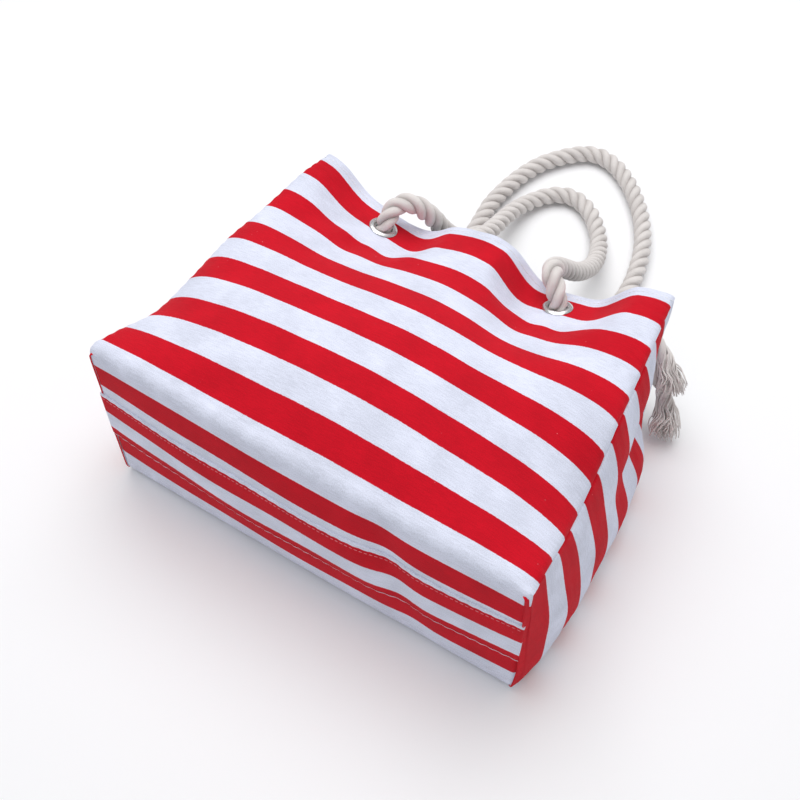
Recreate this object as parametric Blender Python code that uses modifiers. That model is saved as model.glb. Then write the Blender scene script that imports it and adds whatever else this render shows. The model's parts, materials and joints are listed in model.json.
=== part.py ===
"""Striped canvas beach bag with rope handles, lying on its back panel.

The bag's own axes: X runs along its length, Y from the base to the mouth, and Z out of
the front panel. The back panel rests on z = 0. Every sub-part is one named object.
"""
import math

import bmesh
import bpy
from mathutils import Vector

# ---- driving dimensions, in metres ----
BASE_LENGTH = 0.445
BAG_DEPTH = 0.186
BAG_HEIGHT = 0.336
FRONT_MOUTH = 0.386
BACK_MOUTH = 0.384
BODY_MIDDLE_Y = 0.1700

CANVAS = 0.0016
LINING = 0.0008
GAP = 0.0003
LAYER_GAP = 0.0011
BOARD = 0.0025
FOLD_RADIUS = 0.010
STRIP_LOW, STRIP_HIGH = 0.064, 0.127
LAP = 0.008
HEM = 0.050

ROPE_RADIUS = 0.0105
ROPE_END_RADIUS = 0.0098
TAIL_RADIUS = 0.0085
FRAY_RADIUS = 0.0130
KNOT_RADIUS = 0.0195
EYELET_BORE = 0.0090
EYELET_BARREL = 0.0100
EYELET_FLANGE = 0.0150
SWING_STANDOFF = 0.0120

GROMMET_X = 0.0995
GROMMET_Y = 0.3045
FRONT_SHIFT = -0.0065
REAR_LIFT = 0.0262
SEAT = 0.0172
SEAT_EASE = 0.072
SIDE_INSET = 0.96
FRONT_RUN = 0.985
BASE_TILT = 0.005

WRAP_Y = CANVAS + GAP
QUARTER = FOLD_RADIUS * math.pi / 4
HEM_STACK = 2 * CANVAS + LAYER_GAP

RED = (0.62, 0.012, 0.030)
WHITE = (0.80, 0.81, 0.84)
LINING_WHITE = (0.72, 0.70, 0.64)
ROPE_WHITE = (0.78, 0.75, 0.69)
STEEL = (0.75, 0.75, 0.74)
BOARD_GREY = (0.35, 0.33, 0.30)

# ---- shape of the sagging front panel: (distance from the base, value) ----
CROWN = [(0.012, 0.000), (0.060, 0.018), (0.115, 0.025), (0.180, 0.018), (0.240, 0.002),
         (0.295, -0.005), (0.336, -0.010)]
SIDE_RISE = [(0.012, 0.000), (0.080, -0.035), (0.130, -0.030), (0.180, -0.010),
             (0.240, 0.010), (0.295, 0.022), (0.336, 0.025)]
SIDE_ROLL = [(0.000, 0.000), (0.100, 0.015), (0.200, 0.015), (0.336, 0.010)]
GUSSET_BULGE = [(0.000, 0.003), (0.040, 0.016), (0.090, 0.022), (0.160, 0.026), (0.230, 0.027),
                (0.260, 0.022), (0.290, 0.011), (0.336, 0.002)]
GUSSET_CREASE = [(0.000, 0.000), (0.140, 0.000), (0.210, 0.014), (0.290, 0.033), (0.336, 0.045)]
# centre x, width and depth of the dip that each front grommet pulls into the cloth,
# full from DIP_START to the rim and fading over DIP_REACH towards the base
FRONT_DIPS = [(-0.100, 0.065, 0.040), (0.090, 0.050, 0.042)]
DIP_START, DIP_REACH = 0.330, 0.110

# ---- routes of the ropes, from the base, by hand ----
FRONT_ROUTE = [
    (-0.1020, 0.3220, 0.1660), (-0.0950, 0.3290, 0.1690), (-0.0870, 0.3350, 0.1660),
    (-0.0795, 0.3415, 0.1570), (-0.0732, 0.3500, 0.1420), (-0.0688, 0.3625, 0.1200),
    (-0.0655, 0.3810, 0.0960), (-0.0618, 0.4060, 0.0730), (-0.0590, 0.4360, 0.0550),
    (-0.0605, 0.4690, 0.0410), (-0.0628, 0.5010, 0.0300), (-0.0625, 0.5320, 0.0200),
    (-0.0575, 0.5580, 0.0128), (-0.0475, 0.5775, 0.0108), (-0.0335, 0.5900, 0.0108),
    (-0.0170, 0.5940, 0.0108), (0.0005, 0.5885, 0.0108), (0.0172, 0.5760, 0.0108),
    (0.0327, 0.5575, 0.0112), (0.0455, 0.5350, 0.0145), (0.0568, 0.5030, 0.0260),
    (0.0642, 0.4690, 0.0450), (0.0682, 0.4340, 0.0700), (0.0698, 0.4010, 0.0980),
    (0.0694, 0.3740, 0.1250), (0.0692, 0.3540, 0.1450), (0.0705, 0.3380, 0.1590),
    (0.0740, 0.3250, 0.1660), (0.0800, 0.3160, 0.1660)]
REAR_ROUTE = [
    (-0.0995, 0.3260, 0.0115), (-0.0980, 0.3550, 0.0108), (-0.0945, 0.3950, 0.0108),
    (-0.0910, 0.4320, 0.0108), (-0.0895, 0.4640, 0.0108), (-0.0930, 0.4965, 0.0108),
    (-0.0972, 0.5290, 0.0108), (-0.0958, 0.5620, 0.0108), (-0.0905, 0.5955, 0.0108),
    (-0.0805, 0.6265, 0.0108), (-0.0675, 0.6485, 0.0108), (-0.0520, 0.6670, 0.0108),
    (-0.0365, 0.6785, 0.0108), (-0.0180, 0.6810, 0.0108), (0.0040, 0.6730, 0.0108),
    (0.0277, 0.6550, 0.0108), (0.0490, 0.6320, 0.0108), (0.0670, 0.6075, 0.0108),
    (0.0820, 0.5805, 0.0108), (0.0920, 0.5560, 0.0108), (0.0990, 0.5310, 0.0108),
    (0.1045, 0.5020, 0.0108), (0.1065, 0.4700, 0.0108), (0.1060, 0.4330, 0.0108),
    (0.1040, 0.3920, 0.0108), (0.1015, 0.3550, 0.0108), (0.0995, 0.3260, 0.0115)]
TAIL_ROUTES = {
    "tail_front_left": [(-0.1240, 0.2600, 0.1020), (-0.1290, 0.2370, 0.0760),
                        (-0.1310, 0.2150, 0.0460), (-0.1320, 0.1880, 0.0240),
                        (-0.1330, 0.1600, 0.0195), (-0.1330, 0.1350, 0.0195)],
    "tail_front_right": [(0.1150, 0.3190, 0.1060), (0.1250, 0.3380, 0.1030),
                         (0.1420, 0.3530, 0.1030), (0.1640, 0.3610, 0.1010),
                         (0.1860, 0.3600, 0.0890), (0.2030, 0.3530, 0.0710),
                         (0.2150, 0.3400, 0.0570), (0.2210, 0.3230, 0.0490)],
    "tail_rear_left": [(-0.1250, 0.2760, 0.0430), (-0.1420, 0.2580, 0.0290),
                       (-0.1530, 0.2380, 0.0205), (-0.1600, 0.2100, 0.0195),
                       (-0.1630, 0.1820, 0.0195)],
    "tail_rear_right": [(0.1230, 0.3180, 0.0620), (0.1390, 0.3360, 0.0710),
                        (0.1570, 0.3500, 0.0750), (0.1780, 0.3570, 0.0660),
                        (0.1980, 0.3550, 0.0460), (0.2130, 0.3430, 0.0260),
                        (0.2230, 0.3200, 0.0150), (0.2290, 0.2900, 0.0140)],
}


def through(knots, at):
    """Value at one place of a smooth curve through hand-set (place, value) knots."""
    if at <= knots[0][0]:
        return knots[0][1]
    if at >= knots[-1][0]:
        return knots[-1][1]
    spans = len(knots) - 1
    i = next(k for k in range(spans) if at <= knots[k + 1][0])
    (x0, y0), (x1, y1) = knots[i], knots[i + 1]
    slope = (y1 - y0) / (x1 - x0)
    before = (y1 - knots[i - 1][1]) / (x1 - knots[i - 1][0]) if i > 0 else slope
    after = (knots[i + 2][1] - y0) / (knots[i + 2][0] - x0) if i + 2 <= spans else slope
    t = (at - x0) / (x1 - x0)
    width = x1 - x0
    return ((2 * t**3 - 3 * t**2 + 1) * y0 + (t**3 - 2 * t**2 + t) * width * before
            + (-2 * t**3 + 3 * t**2) * y1 + (t**3 - t**2) * width * after)


def smooth(low, high, value):
    """Ease from 0 at low to 1 at high."""
    t = min(max((value - low) / (high - low), 0.0), 1.0)
    return t * t * (3 - 2 * t)


def half_length(s, mouth=FRONT_MOUTH):
    """Half a panel's length at arc height s: the mouth is a little narrower than the base."""
    share = min(max(s / BAG_HEIGHT, 0.0), 1.0)
    return BASE_LENGTH / 2 + (mouth - BASE_LENGTH) / 2 * share**1.4


def front_grommet_x(side):
    """X of a front grommet on the sagging panel."""
    return side * GROMMET_X + FRONT_SHIFT


def loose_height(x, y):
    """Height of the front panel before the cloth is held flat by the grommets."""
    across = x / half_length(y)
    height = BAG_DEPTH + through(CROWN, y) + through(SIDE_RISE, y) * across**2
    height -= through(SIDE_ROLL, y) * across**12
    height -= BASE_TILT * across * (1 - smooth(0.10, 0.20, y))
    reach = math.exp(-(min(y - DIP_START, 0.0) / DIP_REACH) ** 2)
    for centre, width, depth in FRONT_DIPS:
        height -= depth * reach * math.exp(-((x - centre) / width) ** 2)
    return height


def front_height(x, y):
    """Height of the front panel, with a flat seat around each grommet."""
    height = loose_height(x, y)
    step = 0.004
    for side in (-1, 1):
        gx = front_grommet_x(side)
        away = math.hypot(x - gx, y - GROMMET_Y)
        if away > SEAT_EASE:
            continue
        rise_x = (loose_height(gx + step, GROMMET_Y) - loose_height(gx - step, GROMMET_Y)) / (2 * step)
        rise_y = (loose_height(gx, GROMMET_Y + step) - loose_height(gx, GROMMET_Y - step)) / (2 * step)
        seat = loose_height(gx, GROMMET_Y) + rise_x * (x - gx) + rise_y * (y - GROMMET_Y)
        hold = 1 - smooth(0.025, SEAT_EASE, away)
        height += (seat - height) * hold
    return height


def front_point(u, s):
    """Outer face of the front panel: u from -1 to 1 across, s up from the base fold."""
    x = half_length(s) * u
    fold = front_height(x, WRAP_Y + FOLD_RADIUS)
    if s < -QUARTER:
        return Vector((x, WRAP_Y, fold - FOLD_RADIUS + s + QUARTER))
    if s < QUARTER:
        turn = (s + QUARTER) / FOLD_RADIUS
        return Vector((x, WRAP_Y + FOLD_RADIUS * (1 - math.cos(turn)),
                       fold - FOLD_RADIUS * (1 - math.sin(turn))))
    y = WRAP_Y + FOLD_RADIUS + (s - QUARTER) * FRONT_RUN
    return Vector((x, y, front_height(x, y)))


def rear_lift(x, y):
    """How far the back panel stands off the ground over the rear handle's rope."""
    lift = 0.0
    for side in (-1, 1):
        aside = max(abs(x - side * GROMMET_X) - 0.026, 0.0)
        short = max(0.278 - y, 0.0)
        lift = max(lift, REAR_LIFT * math.exp(-(aside / 0.030) ** 2 - (short / 0.045) ** 2))
    return lift


def back_point(u, s):
    """Outer face of the back panel: u from -1 to 1 across, s up from its base fold."""
    x = half_length(s, BACK_MOUTH) * u
    if s < -QUARTER:
        return Vector((x, WRAP_Y, FOLD_RADIUS - s - QUARTER))
    if s < QUARTER:
        turn = (s + QUARTER) / FOLD_RADIUS
        return Vector((x, WRAP_Y + FOLD_RADIUS * (1 - math.cos(turn)),
                       FOLD_RADIUS * (1 - math.sin(turn))))
    y = WRAP_Y + FOLD_RADIUS + (s - QUARTER)
    return Vector((x, y, rear_lift(x, y)))


def surface_normal(surface, a, b, outward):
    """Unit normal of a surface, on the side that outward points to."""
    step = 0.003
    along_a = surface(a + step, b) - surface(a - step, b)
    along_b = surface(a, b + step) - surface(a, b - step)
    normal = along_a.cross(along_b).normalized()
    return normal if normal.dot(outward) > 0 else -normal


def panel_outward(s, up):
    """Rough outward direction of a wrapped panel: -Y on the base, up or down above it."""
    return Vector((0, -1, 0)) if s < -QUARTER else Vector((0, -0.4, up)).normalized()


def front_inside(u, s, depth):
    """Point of the front panel moved inwards by a depth."""
    outward = panel_outward(s, 1)
    return front_point(u, s) - surface_normal(front_point, u, s, outward) * depth


def back_inside(u, s, depth):
    """Point of the back panel moved inwards by a depth."""
    outward = panel_outward(s, -1)
    return back_point(u, s) - surface_normal(back_point, u, s, outward) * depth


def gusset_point(side, v, s):
    """Outer face of a gusset: v from 0 at the back seam to 1 at the front seam."""
    inset = CANVAS + 0.0012
    top = front_inside(side * 0.998, s, inset)
    bottom = back_inside(side * 0.998, s, inset)
    point = bottom.lerp(top, v)
    bulge = through(GUSSET_BULGE, s) * math.sin(math.pi * v**0.55) ** 0.7
    crease = through(GUSSET_CREASE, s) * math.exp(-((v - 0.52) / 0.17) ** 2)
    point.x += side * (bulge - crease)
    return point


def gusset_inside(side, v, s, depth):
    """Point of a gusset moved inwards by a depth."""
    normal = surface_normal(lambda a, b: gusset_point(side, min(max(a, 0), 1), b), v, s,
                            Vector((side, 0, 0)))
    return gusset_point(side, v, s) - normal * depth


def stations(low, high, count, extra=()):
    """Even stations from low to high, with extra ones that replace near neighbours."""
    pitch = (high - low) / (count - 1)
    even = [low + pitch * i for i in range(count)]
    kept = [e for e in even if all(abs(e - x) > pitch * 0.45 for x in extra)]
    kept += [low, high] if low not in kept else []
    return sorted(set(kept) | set(extra) | {low, high})


def paint(name, colour, roughness, metallic=0.0):
    """Make one plain material."""
    material = bpy.data.materials.new(name)
    material.use_nodes = True
    shader = material.node_tree.nodes["Principled BSDF"]
    shader.inputs["Base Color"].default_value = (*colour, 1.0)
    shader.inputs["Roughness"].default_value = roughness
    shader.inputs["Metallic"].default_value = metallic
    material.diffuse_color = (*colour, 1.0)
    return material


def add_object(name, mesh, material, parent=None):
    """Link a mesh as a part of the bag, with its own material."""
    mesh.materials.append(material)
    part = bpy.data.objects.new(name, mesh)
    PARTS.objects.link(part)
    part.parent = parent or BODY
    return part


def add_sheet(name, place, columns, rows, thickness, material):
    """Make a cloth sheet: a grid laid on a surface, thickened inwards."""
    bm = bmesh.new()
    across, up = len(columns) - 1, len(rows) - 1
    bmesh.ops.create_grid(bm, x_segments=across, y_segments=up, size=1.0)
    for vertex in bm.verts:
        i = round((vertex.co.x + 1) / 2 * across)
        j = round((vertex.co.y + 1) / 2 * up)
        vertex.co = place(columns[i], rows[j])
    bmesh.ops.triangulate(bm, faces=bm.faces, quad_method="FIXED")
    mesh = bpy.data.meshes.new(name)
    bm.to_mesh(mesh)
    bm.free()
    sheet = add_object(name, mesh, material)
    wall = sheet.modifiers.new("thickness", "SOLIDIFY")
    wall.thickness = thickness
    wall.offset = -1.0
    wall.use_even_offset = True
    return sheet


def add_slab(name, low, high, material):
    """Make a flat slab between two corners."""
    bm = bmesh.new()
    bmesh.ops.create_cube(bm, size=1.0)
    centre = (Vector(low) + Vector(high)) / 2
    size = Vector(high) - Vector(low)
    bmesh.ops.scale(bm, vec=size, verts=bm.verts)
    mesh = bpy.data.meshes.new(name)
    bm.to_mesh(mesh)
    bm.free()
    slab = add_object(name, mesh, material)
    slab.location = centre
    return slab


def add_turned(name, profile, place, outward, material, steps):
    """Turn a (radius, height) profile about the outward direction through a place."""
    bm = bmesh.new()
    corners = [bm.verts.new((radius, 0, height)) for radius, height in profile]
    for first, second in zip(corners, corners[1:]):
        bm.edges.new((first, second))
    if profile[0][0] > 0:
        bm.edges.new((corners[-1], corners[0]))
    mesh = bpy.data.meshes.new(name)
    bm.to_mesh(mesh)
    bm.free()
    part = add_object(name, mesh, material)
    part.rotation_euler = outward.to_track_quat("Z", "Y").to_euler()
    part.location = place
    turn = part.modifiers.new("turn", "SCREW")
    turn.steps = steps
    turn.render_steps = steps
    turn.use_merge_vertices = True
    turn.merge_threshold = 0.00005
    mesh.shade_smooth()
    return part


def cut_hole(sheet, place, outward, radius):
    """Cut a round hole through a sheet, square to its face."""
    bm = bmesh.new()
    bmesh.ops.create_cone(bm, cap_ends=True, segments=24, radius1=radius, radius2=radius, depth=0.03)
    mesh = bpy.data.meshes.new(f"hole_{sheet.name}")
    bm.to_mesh(mesh)
    bm.free()
    cutter = bpy.data.objects.new(mesh.name, mesh)
    CUTTERS.objects.link(cutter)
    cutter.parent = BODY
    cutter.rotation_euler = outward.to_track_quat("Z", "Y").to_euler()
    cutter.location = place
    cutter.hide_render = True
    cutter.display_type = "WIRE"
    hole = sheet.modifiers.new("hole", "BOOLEAN")
    hole.operation = "DIFFERENCE"
    hole.solver = "EXACT"
    hole.object = cutter


def resample(points, pitch):
    """Read points at an even pitch from a smooth curve through the route's points."""
    ends = [points[0] * 2 - points[1]] + points + [points[-1] * 2 - points[-2]]
    fine = []
    for p0, p1, p2, p3 in zip(ends, ends[1:], ends[2:], ends[3:]):
        for k in range(12):
            t = k / 12
            fine.append(0.5 * (2 * p1 + (p2 - p0) * t + (2 * p0 - 5 * p1 + 4 * p2 - p3) * t**2
                               + (3 * p1 - p0 - 3 * p2 + p3) * t**3))
    fine.append(points[-1])
    runs = [0.0]
    for a, b in zip(fine, fine[1:]):
        runs.append(runs[-1] + (b - a).length)
    count = max(round(runs[-1] / pitch), 4)
    even = []
    for k in range(count + 1):
        want = runs[-1] * k / count
        i = min(next((n for n, r in enumerate(runs) if r >= want - 1e-9), len(runs) - 1), len(runs) - 1)
        i = max(i, 1)
        share = (want - runs[i - 1]) / (runs[i] - runs[i - 1])
        even.append(fine[i - 1].lerp(fine[i], min(share, 1.0)))
    return even, runs[-1]


def add_rope(name, points, radii, material, parent=None, origin=Vector((0, 0, 0))):
    """Make a rope: a bevelled poly curve with a radius at each point and filled caps."""
    curve = bpy.data.curves.new(name, "CURVE")
    curve.dimensions = "3D"
    curve.bevel_depth = ROPE_RADIUS
    curve.bevel_resolution = 2
    curve.use_fill_caps = True
    curve.render_resolution_u = 0
    spline = curve.splines.new("POLY")
    spline.points.add(len(points) - 1)
    for vertex, point, radius in zip(spline.points, points, radii):
        vertex.co = (*(point - origin), 1.0)
        vertex.radius = radius / ROPE_RADIUS
    curve.materials.append(material)
    rope = bpy.data.objects.new(name, curve)
    PARTS.objects.link(rope)
    rope.parent = parent or BODY
    return rope


def ball_end(centre, towards, radius):
    """Points and radii of a rounded rope end whose ball is centred on the swing axis."""
    ring = [(-0.995, 0.10), (-0.866, 0.50), (-0.5, 0.866), (0.0, 1.0)]
    points = [centre + towards * (along * radius) for along, _ in ring]
    return points, [share * radius for _, share in ring]


def add_handle(name, first, first_way, last, last_way, route, material):
    """Make a handle's loop of rope between its two swing centres."""
    start_points, start_radii = ball_end(first, first_way, ROPE_END_RADIUS)
    end_points, end_radii = ball_end(last, last_way, ROPE_END_RADIUS)
    middle, length = resample([first] + [Vector(p) for p in route] + [last], 0.022)
    points = start_points + middle[1:-1] + end_points[::-1]
    body_radii = []
    for i in range(1, len(middle) - 1):
        near_end = min(i, len(middle) - 1 - i) * 0.022
        body_radii.append(ROPE_END_RADIUS + (ROPE_RADIUS - ROPE_END_RADIUS) * smooth(0.0, 0.05, near_end))
    pivot = bpy.data.objects.new(f"{name}_pivot", None)
    PARTS.objects.link(pivot)
    pivot.parent = BODY
    pivot.location = first
    add_rope(name, points, start_radii + body_radii + end_radii[::-1], material, pivot, first)
    print(name, "length", round(length, 4))


def add_tail(name, centre, route, material):
    """Make a knot's loose end, which widens into a frayed brush."""
    first = Vector(route[0])
    start = centre + (first - centre).normalized() * (KNOT_RADIUS + 0.0008)
    points, length = resample([start] + [Vector(p) for p in route], 0.014)
    radii = []
    for i in range(len(points)):
        left = length * (1 - i / (len(points) - 1))
        flare = 1 - smooth(0.010, 0.045, left)
        tip = 1 - 0.35 * (1 - smooth(0.0, 0.010, left))
        radii.append((TAIL_RADIUS + (FRAY_RADIUS - TAIL_RADIUS) * flare) * tip)
    add_rope(name, points, radii, material)
    print(name, "length", round(length, 4))


def eyelet_profile():
    """Flange outside the cloth and the barrel through it, outer side first."""
    top, seat, foot = 0.0013, GAP, -(HEM_STACK + 0.0018)
    return [(EYELET_FLANGE, top), (EYELET_FLANGE, seat), (EYELET_BARREL, seat),
            (EYELET_BARREL, foot), (EYELET_BORE, foot), (EYELET_BORE, top)]


def washer_profile():
    """Ring that backs the barrel on the inner side of the hem."""
    top = -(HEM_STACK + GAP)
    return [(EYELET_FLANGE, top), (EYELET_FLANGE, top - 0.001), (EYELET_BARREL + GAP, top - 0.001),
            (EYELET_BARREL + GAP, top)]


def knot_profile():
    """Rope stub through the eyelet and the stopper knot behind the washer."""
    stub = EYELET_BORE - GAP
    top, neck = 0.0016, -(HEM_STACK + 0.0023)
    middle = neck - KNOT_RADIUS
    profile = [(0.0, top), (stub, top), (stub, neck)]
    start = math.asin(stub / KNOT_RADIUS)
    for k in range(1, 8):
        angle = start + (math.pi - start) * k / 8
        profile.append((KNOT_RADIUS * math.sin(angle), middle + KNOT_RADIUS * math.cos(angle)))
    profile.append((0.0, middle - KNOT_RADIUS))
    return profile


def knot_centre(place, outward):
    """Centre of the knot behind a grommet."""
    return place - outward * (HEM_STACK + 0.0023 + KNOT_RADIUS)


def grommet_arc(rise):
    """Arc height of the grommets, where y grows by rise for each unit of arc."""
    return (GROMMET_Y - WRAP_Y - FOLD_RADIUS) / rise + QUARTER


def panel_columns(count, grommets_x, half):
    """Stations across a panel, with a pair beside each grommet and each side seam."""
    beside = [(x + edge) / half for x in grommets_x for edge in (-SEAT, SEAT)]
    return stations(-1, 1, count, beside + [-SIDE_INSET, SIDE_INSET])


FOLD_ROWS = [-QUARTER + QUARTER * k / 2 for k in range(5)]
FRONT_ARC, BACK_ARC = grommet_arc(FRONT_RUN), grommet_arc(1.0)
FRONT_COLUMNS = panel_columns(17, [front_grommet_x(-1), front_grommet_x(1)], half_length(FRONT_ARC))
BACK_COLUMNS = panel_columns(15, [-GROMMET_X, GROMMET_X], half_length(BACK_ARC, BACK_MOUTH))
FRONT_ROWS = stations(0.030, BAG_HEIGHT, 15, [FRONT_ARC - SEAT, FRONT_ARC + SEAT])
BACK_ROWS = [0.030, 0.10, 0.17] + stations(0.205, BAG_HEIGHT, 8, [BACK_ARC - SEAT, BACK_ARC + SEAT])
GUSSET_ROWS = stations(0.0, BAG_HEIGHT, 15, [BAG_HEIGHT - HEM])
GUSSET_SHARES = stations(0.0, 1.0, 11, [0.045, 0.955])


def inner(values):
    """Stations that stay clear of the side seams or the gusset's two seams."""
    return values[1:-1]


def below_hem(rows):
    """Rows of a lining: up to just under the hem facing."""
    hem = next(row for row in rows if row > BAG_HEIGHT - HEM - 0.005)
    return [row for row in rows if row < hem] + [hem - 0.0015]


def hem_rows(rows):
    """Rows of a hem facing, up to the rim."""
    return [row for row in rows if row > BAG_HEIGHT - HEM - 0.005]


def build_canvas():
    """Outer canvas: front and back panels that wrap onto the base, base strip, gussets."""
    wrap_end = -(BAG_DEPTH - STRIP_HIGH + LAP - FOLD_RADIUS + QUARTER)
    rows = [wrap_end, wrap_end / 2] + FOLD_ROWS + FRONT_ROWS
    front = add_sheet("front_panel", front_point, FRONT_COLUMNS, rows, CANVAS,
                      paint("front_cloth", RED, 0.85))

    wrap_end = -(STRIP_LOW + LAP - FOLD_RADIUS + QUARTER)
    rows = [wrap_end] + FOLD_ROWS + BACK_ROWS
    back = add_sheet("back_panel", lambda u, s: back_point(-u, s), BACK_COLUMNS, rows, CANVAS,
                     paint("back_cloth", RED, 0.85))

    add_slab("base_strip", (-BASE_LENGTH / 2, 0, STRIP_LOW), (BASE_LENGTH / 2, CANVAS, STRIP_HIGH),
             paint("strip_cloth", RED, 0.85))

    add_sheet("gusset_right", lambda v, s: gusset_point(1, 1 - v, s), GUSSET_SHARES, GUSSET_ROWS,
              CANVAS, paint("gusset_right_cloth", RED, 0.85))
    add_sheet("gusset_left", lambda v, s: gusset_point(-1, v, s), GUSSET_SHARES, GUSSET_ROWS,
              CANVAS, paint("gusset_left_cloth", RED, 0.85))
    return front, back


def build_inside():
    """Hem facings, lining pieces and the stiff board under the base lining."""
    hem_depth = CANVAS + LAYER_GAP
    lining_depth = CANVAS + LAYER_GAP
    facing_cloth = paint("facing_cloth", WHITE, 0.85)
    lining_cloth = paint("lining_cloth", LINING_WHITE, 0.9)

    columns = inner(FRONT_COLUMNS)
    front_facing = add_sheet("facing_front", lambda u, s: front_inside(u, s, hem_depth), columns,
                             hem_rows(FRONT_ROWS), CANVAS, facing_cloth)
    add_sheet("lining_front", lambda u, s: front_inside(u, s, lining_depth), columns,
              [0.018] + below_hem(FRONT_ROWS), LINING, lining_cloth)

    columns = inner(BACK_COLUMNS)
    back_facing = add_sheet("facing_back", lambda u, s: back_inside(-u, s, hem_depth), columns,
                            hem_rows(BACK_ROWS), CANVAS, facing_cloth)
    add_sheet("lining_back", lambda u, s: back_inside(-u, s, lining_depth), columns,
              [0.018] + below_hem(BACK_ROWS), LINING, lining_cloth)

    shares = inner(GUSSET_SHARES)
    for side, word in ((1, "right"), (-1, "left")):
        def laid(v, s, depth, side=side):
            return gusset_inside(side, 1 - v if side > 0 else v, s, depth)
        add_sheet(f"facing_{word}", lambda v, s: laid(v, s, hem_depth), shares, hem_rows(GUSSET_ROWS),
                  CANVAS, facing_cloth)
        add_sheet(f"lining_{word}", lambda v, s: laid(v, s, lining_depth), shares,
                  below_hem(GUSSET_ROWS)[1:], LINING, lining_cloth)

    edge = BASE_LENGTH / 2 - 0.007
    floor = WRAP_Y + CANVAS + 2 * GAP
    top = BAG_DEPTH - 0.026
    add_slab("base_board", (-edge, floor, 0.012), (edge, floor + BOARD, top),
             paint("board", BOARD_GREY, 0.8))
    floor += BOARD + GAP
    add_slab("lining_base", (-edge, floor, 0.012), (edge, floor + LINING, top), lining_cloth)
    return front_facing, back_facing


def build_ropes(front_cloths, back_cloths):
    """Grommets, knots, frayed tails and the two swinging handles."""
    rope = paint("rope", ROPE_WHITE, 0.9)
    steel = paint("grommet_steel", STEEL, 0.3, 1.0)
    for face, cloths, route in (("front", front_cloths, FRONT_ROUTE), ("rear", back_cloths, REAR_ROUTE)):
        swings = []
        for side, word in ((-1, "left"), (1, "right")):
            if face == "front":
                u = front_grommet_x(side) / half_length(FRONT_ARC)
                place = front_point(u, FRONT_ARC)
                outward = surface_normal(front_point, u, FRONT_ARC, Vector((0, 0, 1)))
            else:
                u = side * GROMMET_X / half_length(BACK_ARC, BACK_MOUTH)
                place = back_point(u, BACK_ARC)
                outward = surface_normal(back_point, u, BACK_ARC, Vector((0, 0, -1)))
            for cloth in cloths:
                cut_hole(cloth, place, outward, EYELET_BARREL + GAP)
            add_turned(f"eyelet_{face}_{word}", eyelet_profile(), place, outward, steel, 24)
            add_turned(f"washer_{face}_{word}", washer_profile(), place, outward, steel, 24)
            add_turned(f"knot_{face}_{word}", knot_profile(), place, outward, rope, 14)
            tail = f"tail_{face}_{word}"
            add_tail(tail, knot_centre(place, outward), TAIL_ROUTES[tail], rope)
            swings.append(place + outward * SWING_STANDOFF)
            print(face, word, "swing", [round(c, 4) for c in swings[-1]], "outward",
                  [round(c, 3) for c in outward])
        ways = [(Vector(route[0]) - swings[0]).normalized(), (Vector(route[-1]) - swings[1]).normalized()]
        add_handle(f"handle_{face}", swings[0], ways[0], swings[1], ways[1], route, rope)


for old in list(bpy.data.objects):
    bpy.data.objects.remove(old, do_unlink=True)
PARTS = bpy.data.collections.new("beach_bag")
CUTTERS = bpy.data.collections.new("cutters")
bpy.context.scene.collection.children.link(PARTS)
bpy.context.scene.collection.children.link(CUTTERS)
BODY = bpy.data.objects.new("bag_frame", None)
PARTS.objects.link(BODY)
BODY.location = (0, -BODY_MIDDLE_Y, 0)

front_panel, back_panel = build_canvas()
facing_front, facing_back = build_inside()
build_ropes((front_panel, facing_front), (back_panel, facing_back))
bpy.context.view_layer.update()
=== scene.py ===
"""Looks of a striped canvas beach bag with rope handles, lying on its back panel.

Bag coordinates run X along the bag, Y from the base to the mouth and Z out of the front
panel. The row frame is the same with Y moved by BODY_MIDDLE_Y.
"""

import json
import logging
import math
from collections.abc import Callable, Sequence
from dataclasses import dataclass, field
from enum import Enum
from functools import partial

import bmesh
import bpy
import numpy as np
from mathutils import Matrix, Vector

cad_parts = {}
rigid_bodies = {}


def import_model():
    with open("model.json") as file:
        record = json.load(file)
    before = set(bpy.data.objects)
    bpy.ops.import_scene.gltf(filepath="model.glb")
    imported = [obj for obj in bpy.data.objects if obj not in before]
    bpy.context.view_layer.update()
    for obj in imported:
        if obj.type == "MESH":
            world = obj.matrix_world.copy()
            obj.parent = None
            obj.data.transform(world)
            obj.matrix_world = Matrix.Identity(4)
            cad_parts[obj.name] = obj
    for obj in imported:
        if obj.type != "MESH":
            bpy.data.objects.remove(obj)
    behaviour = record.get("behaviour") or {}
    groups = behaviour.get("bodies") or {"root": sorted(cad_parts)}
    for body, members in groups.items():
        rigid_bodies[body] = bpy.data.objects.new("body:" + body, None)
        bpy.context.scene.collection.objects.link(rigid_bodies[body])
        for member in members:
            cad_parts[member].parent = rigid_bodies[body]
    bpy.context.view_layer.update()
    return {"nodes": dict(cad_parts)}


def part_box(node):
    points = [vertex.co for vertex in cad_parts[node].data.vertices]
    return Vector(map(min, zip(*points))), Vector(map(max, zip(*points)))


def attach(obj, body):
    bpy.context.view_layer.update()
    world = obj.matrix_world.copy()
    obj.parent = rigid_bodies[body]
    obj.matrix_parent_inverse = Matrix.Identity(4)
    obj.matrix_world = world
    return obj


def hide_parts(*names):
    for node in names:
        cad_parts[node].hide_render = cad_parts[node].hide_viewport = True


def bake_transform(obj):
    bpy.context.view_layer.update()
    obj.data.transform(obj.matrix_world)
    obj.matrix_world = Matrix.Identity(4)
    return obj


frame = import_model()
LOG = logging.getLogger("beach_bag")

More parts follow.
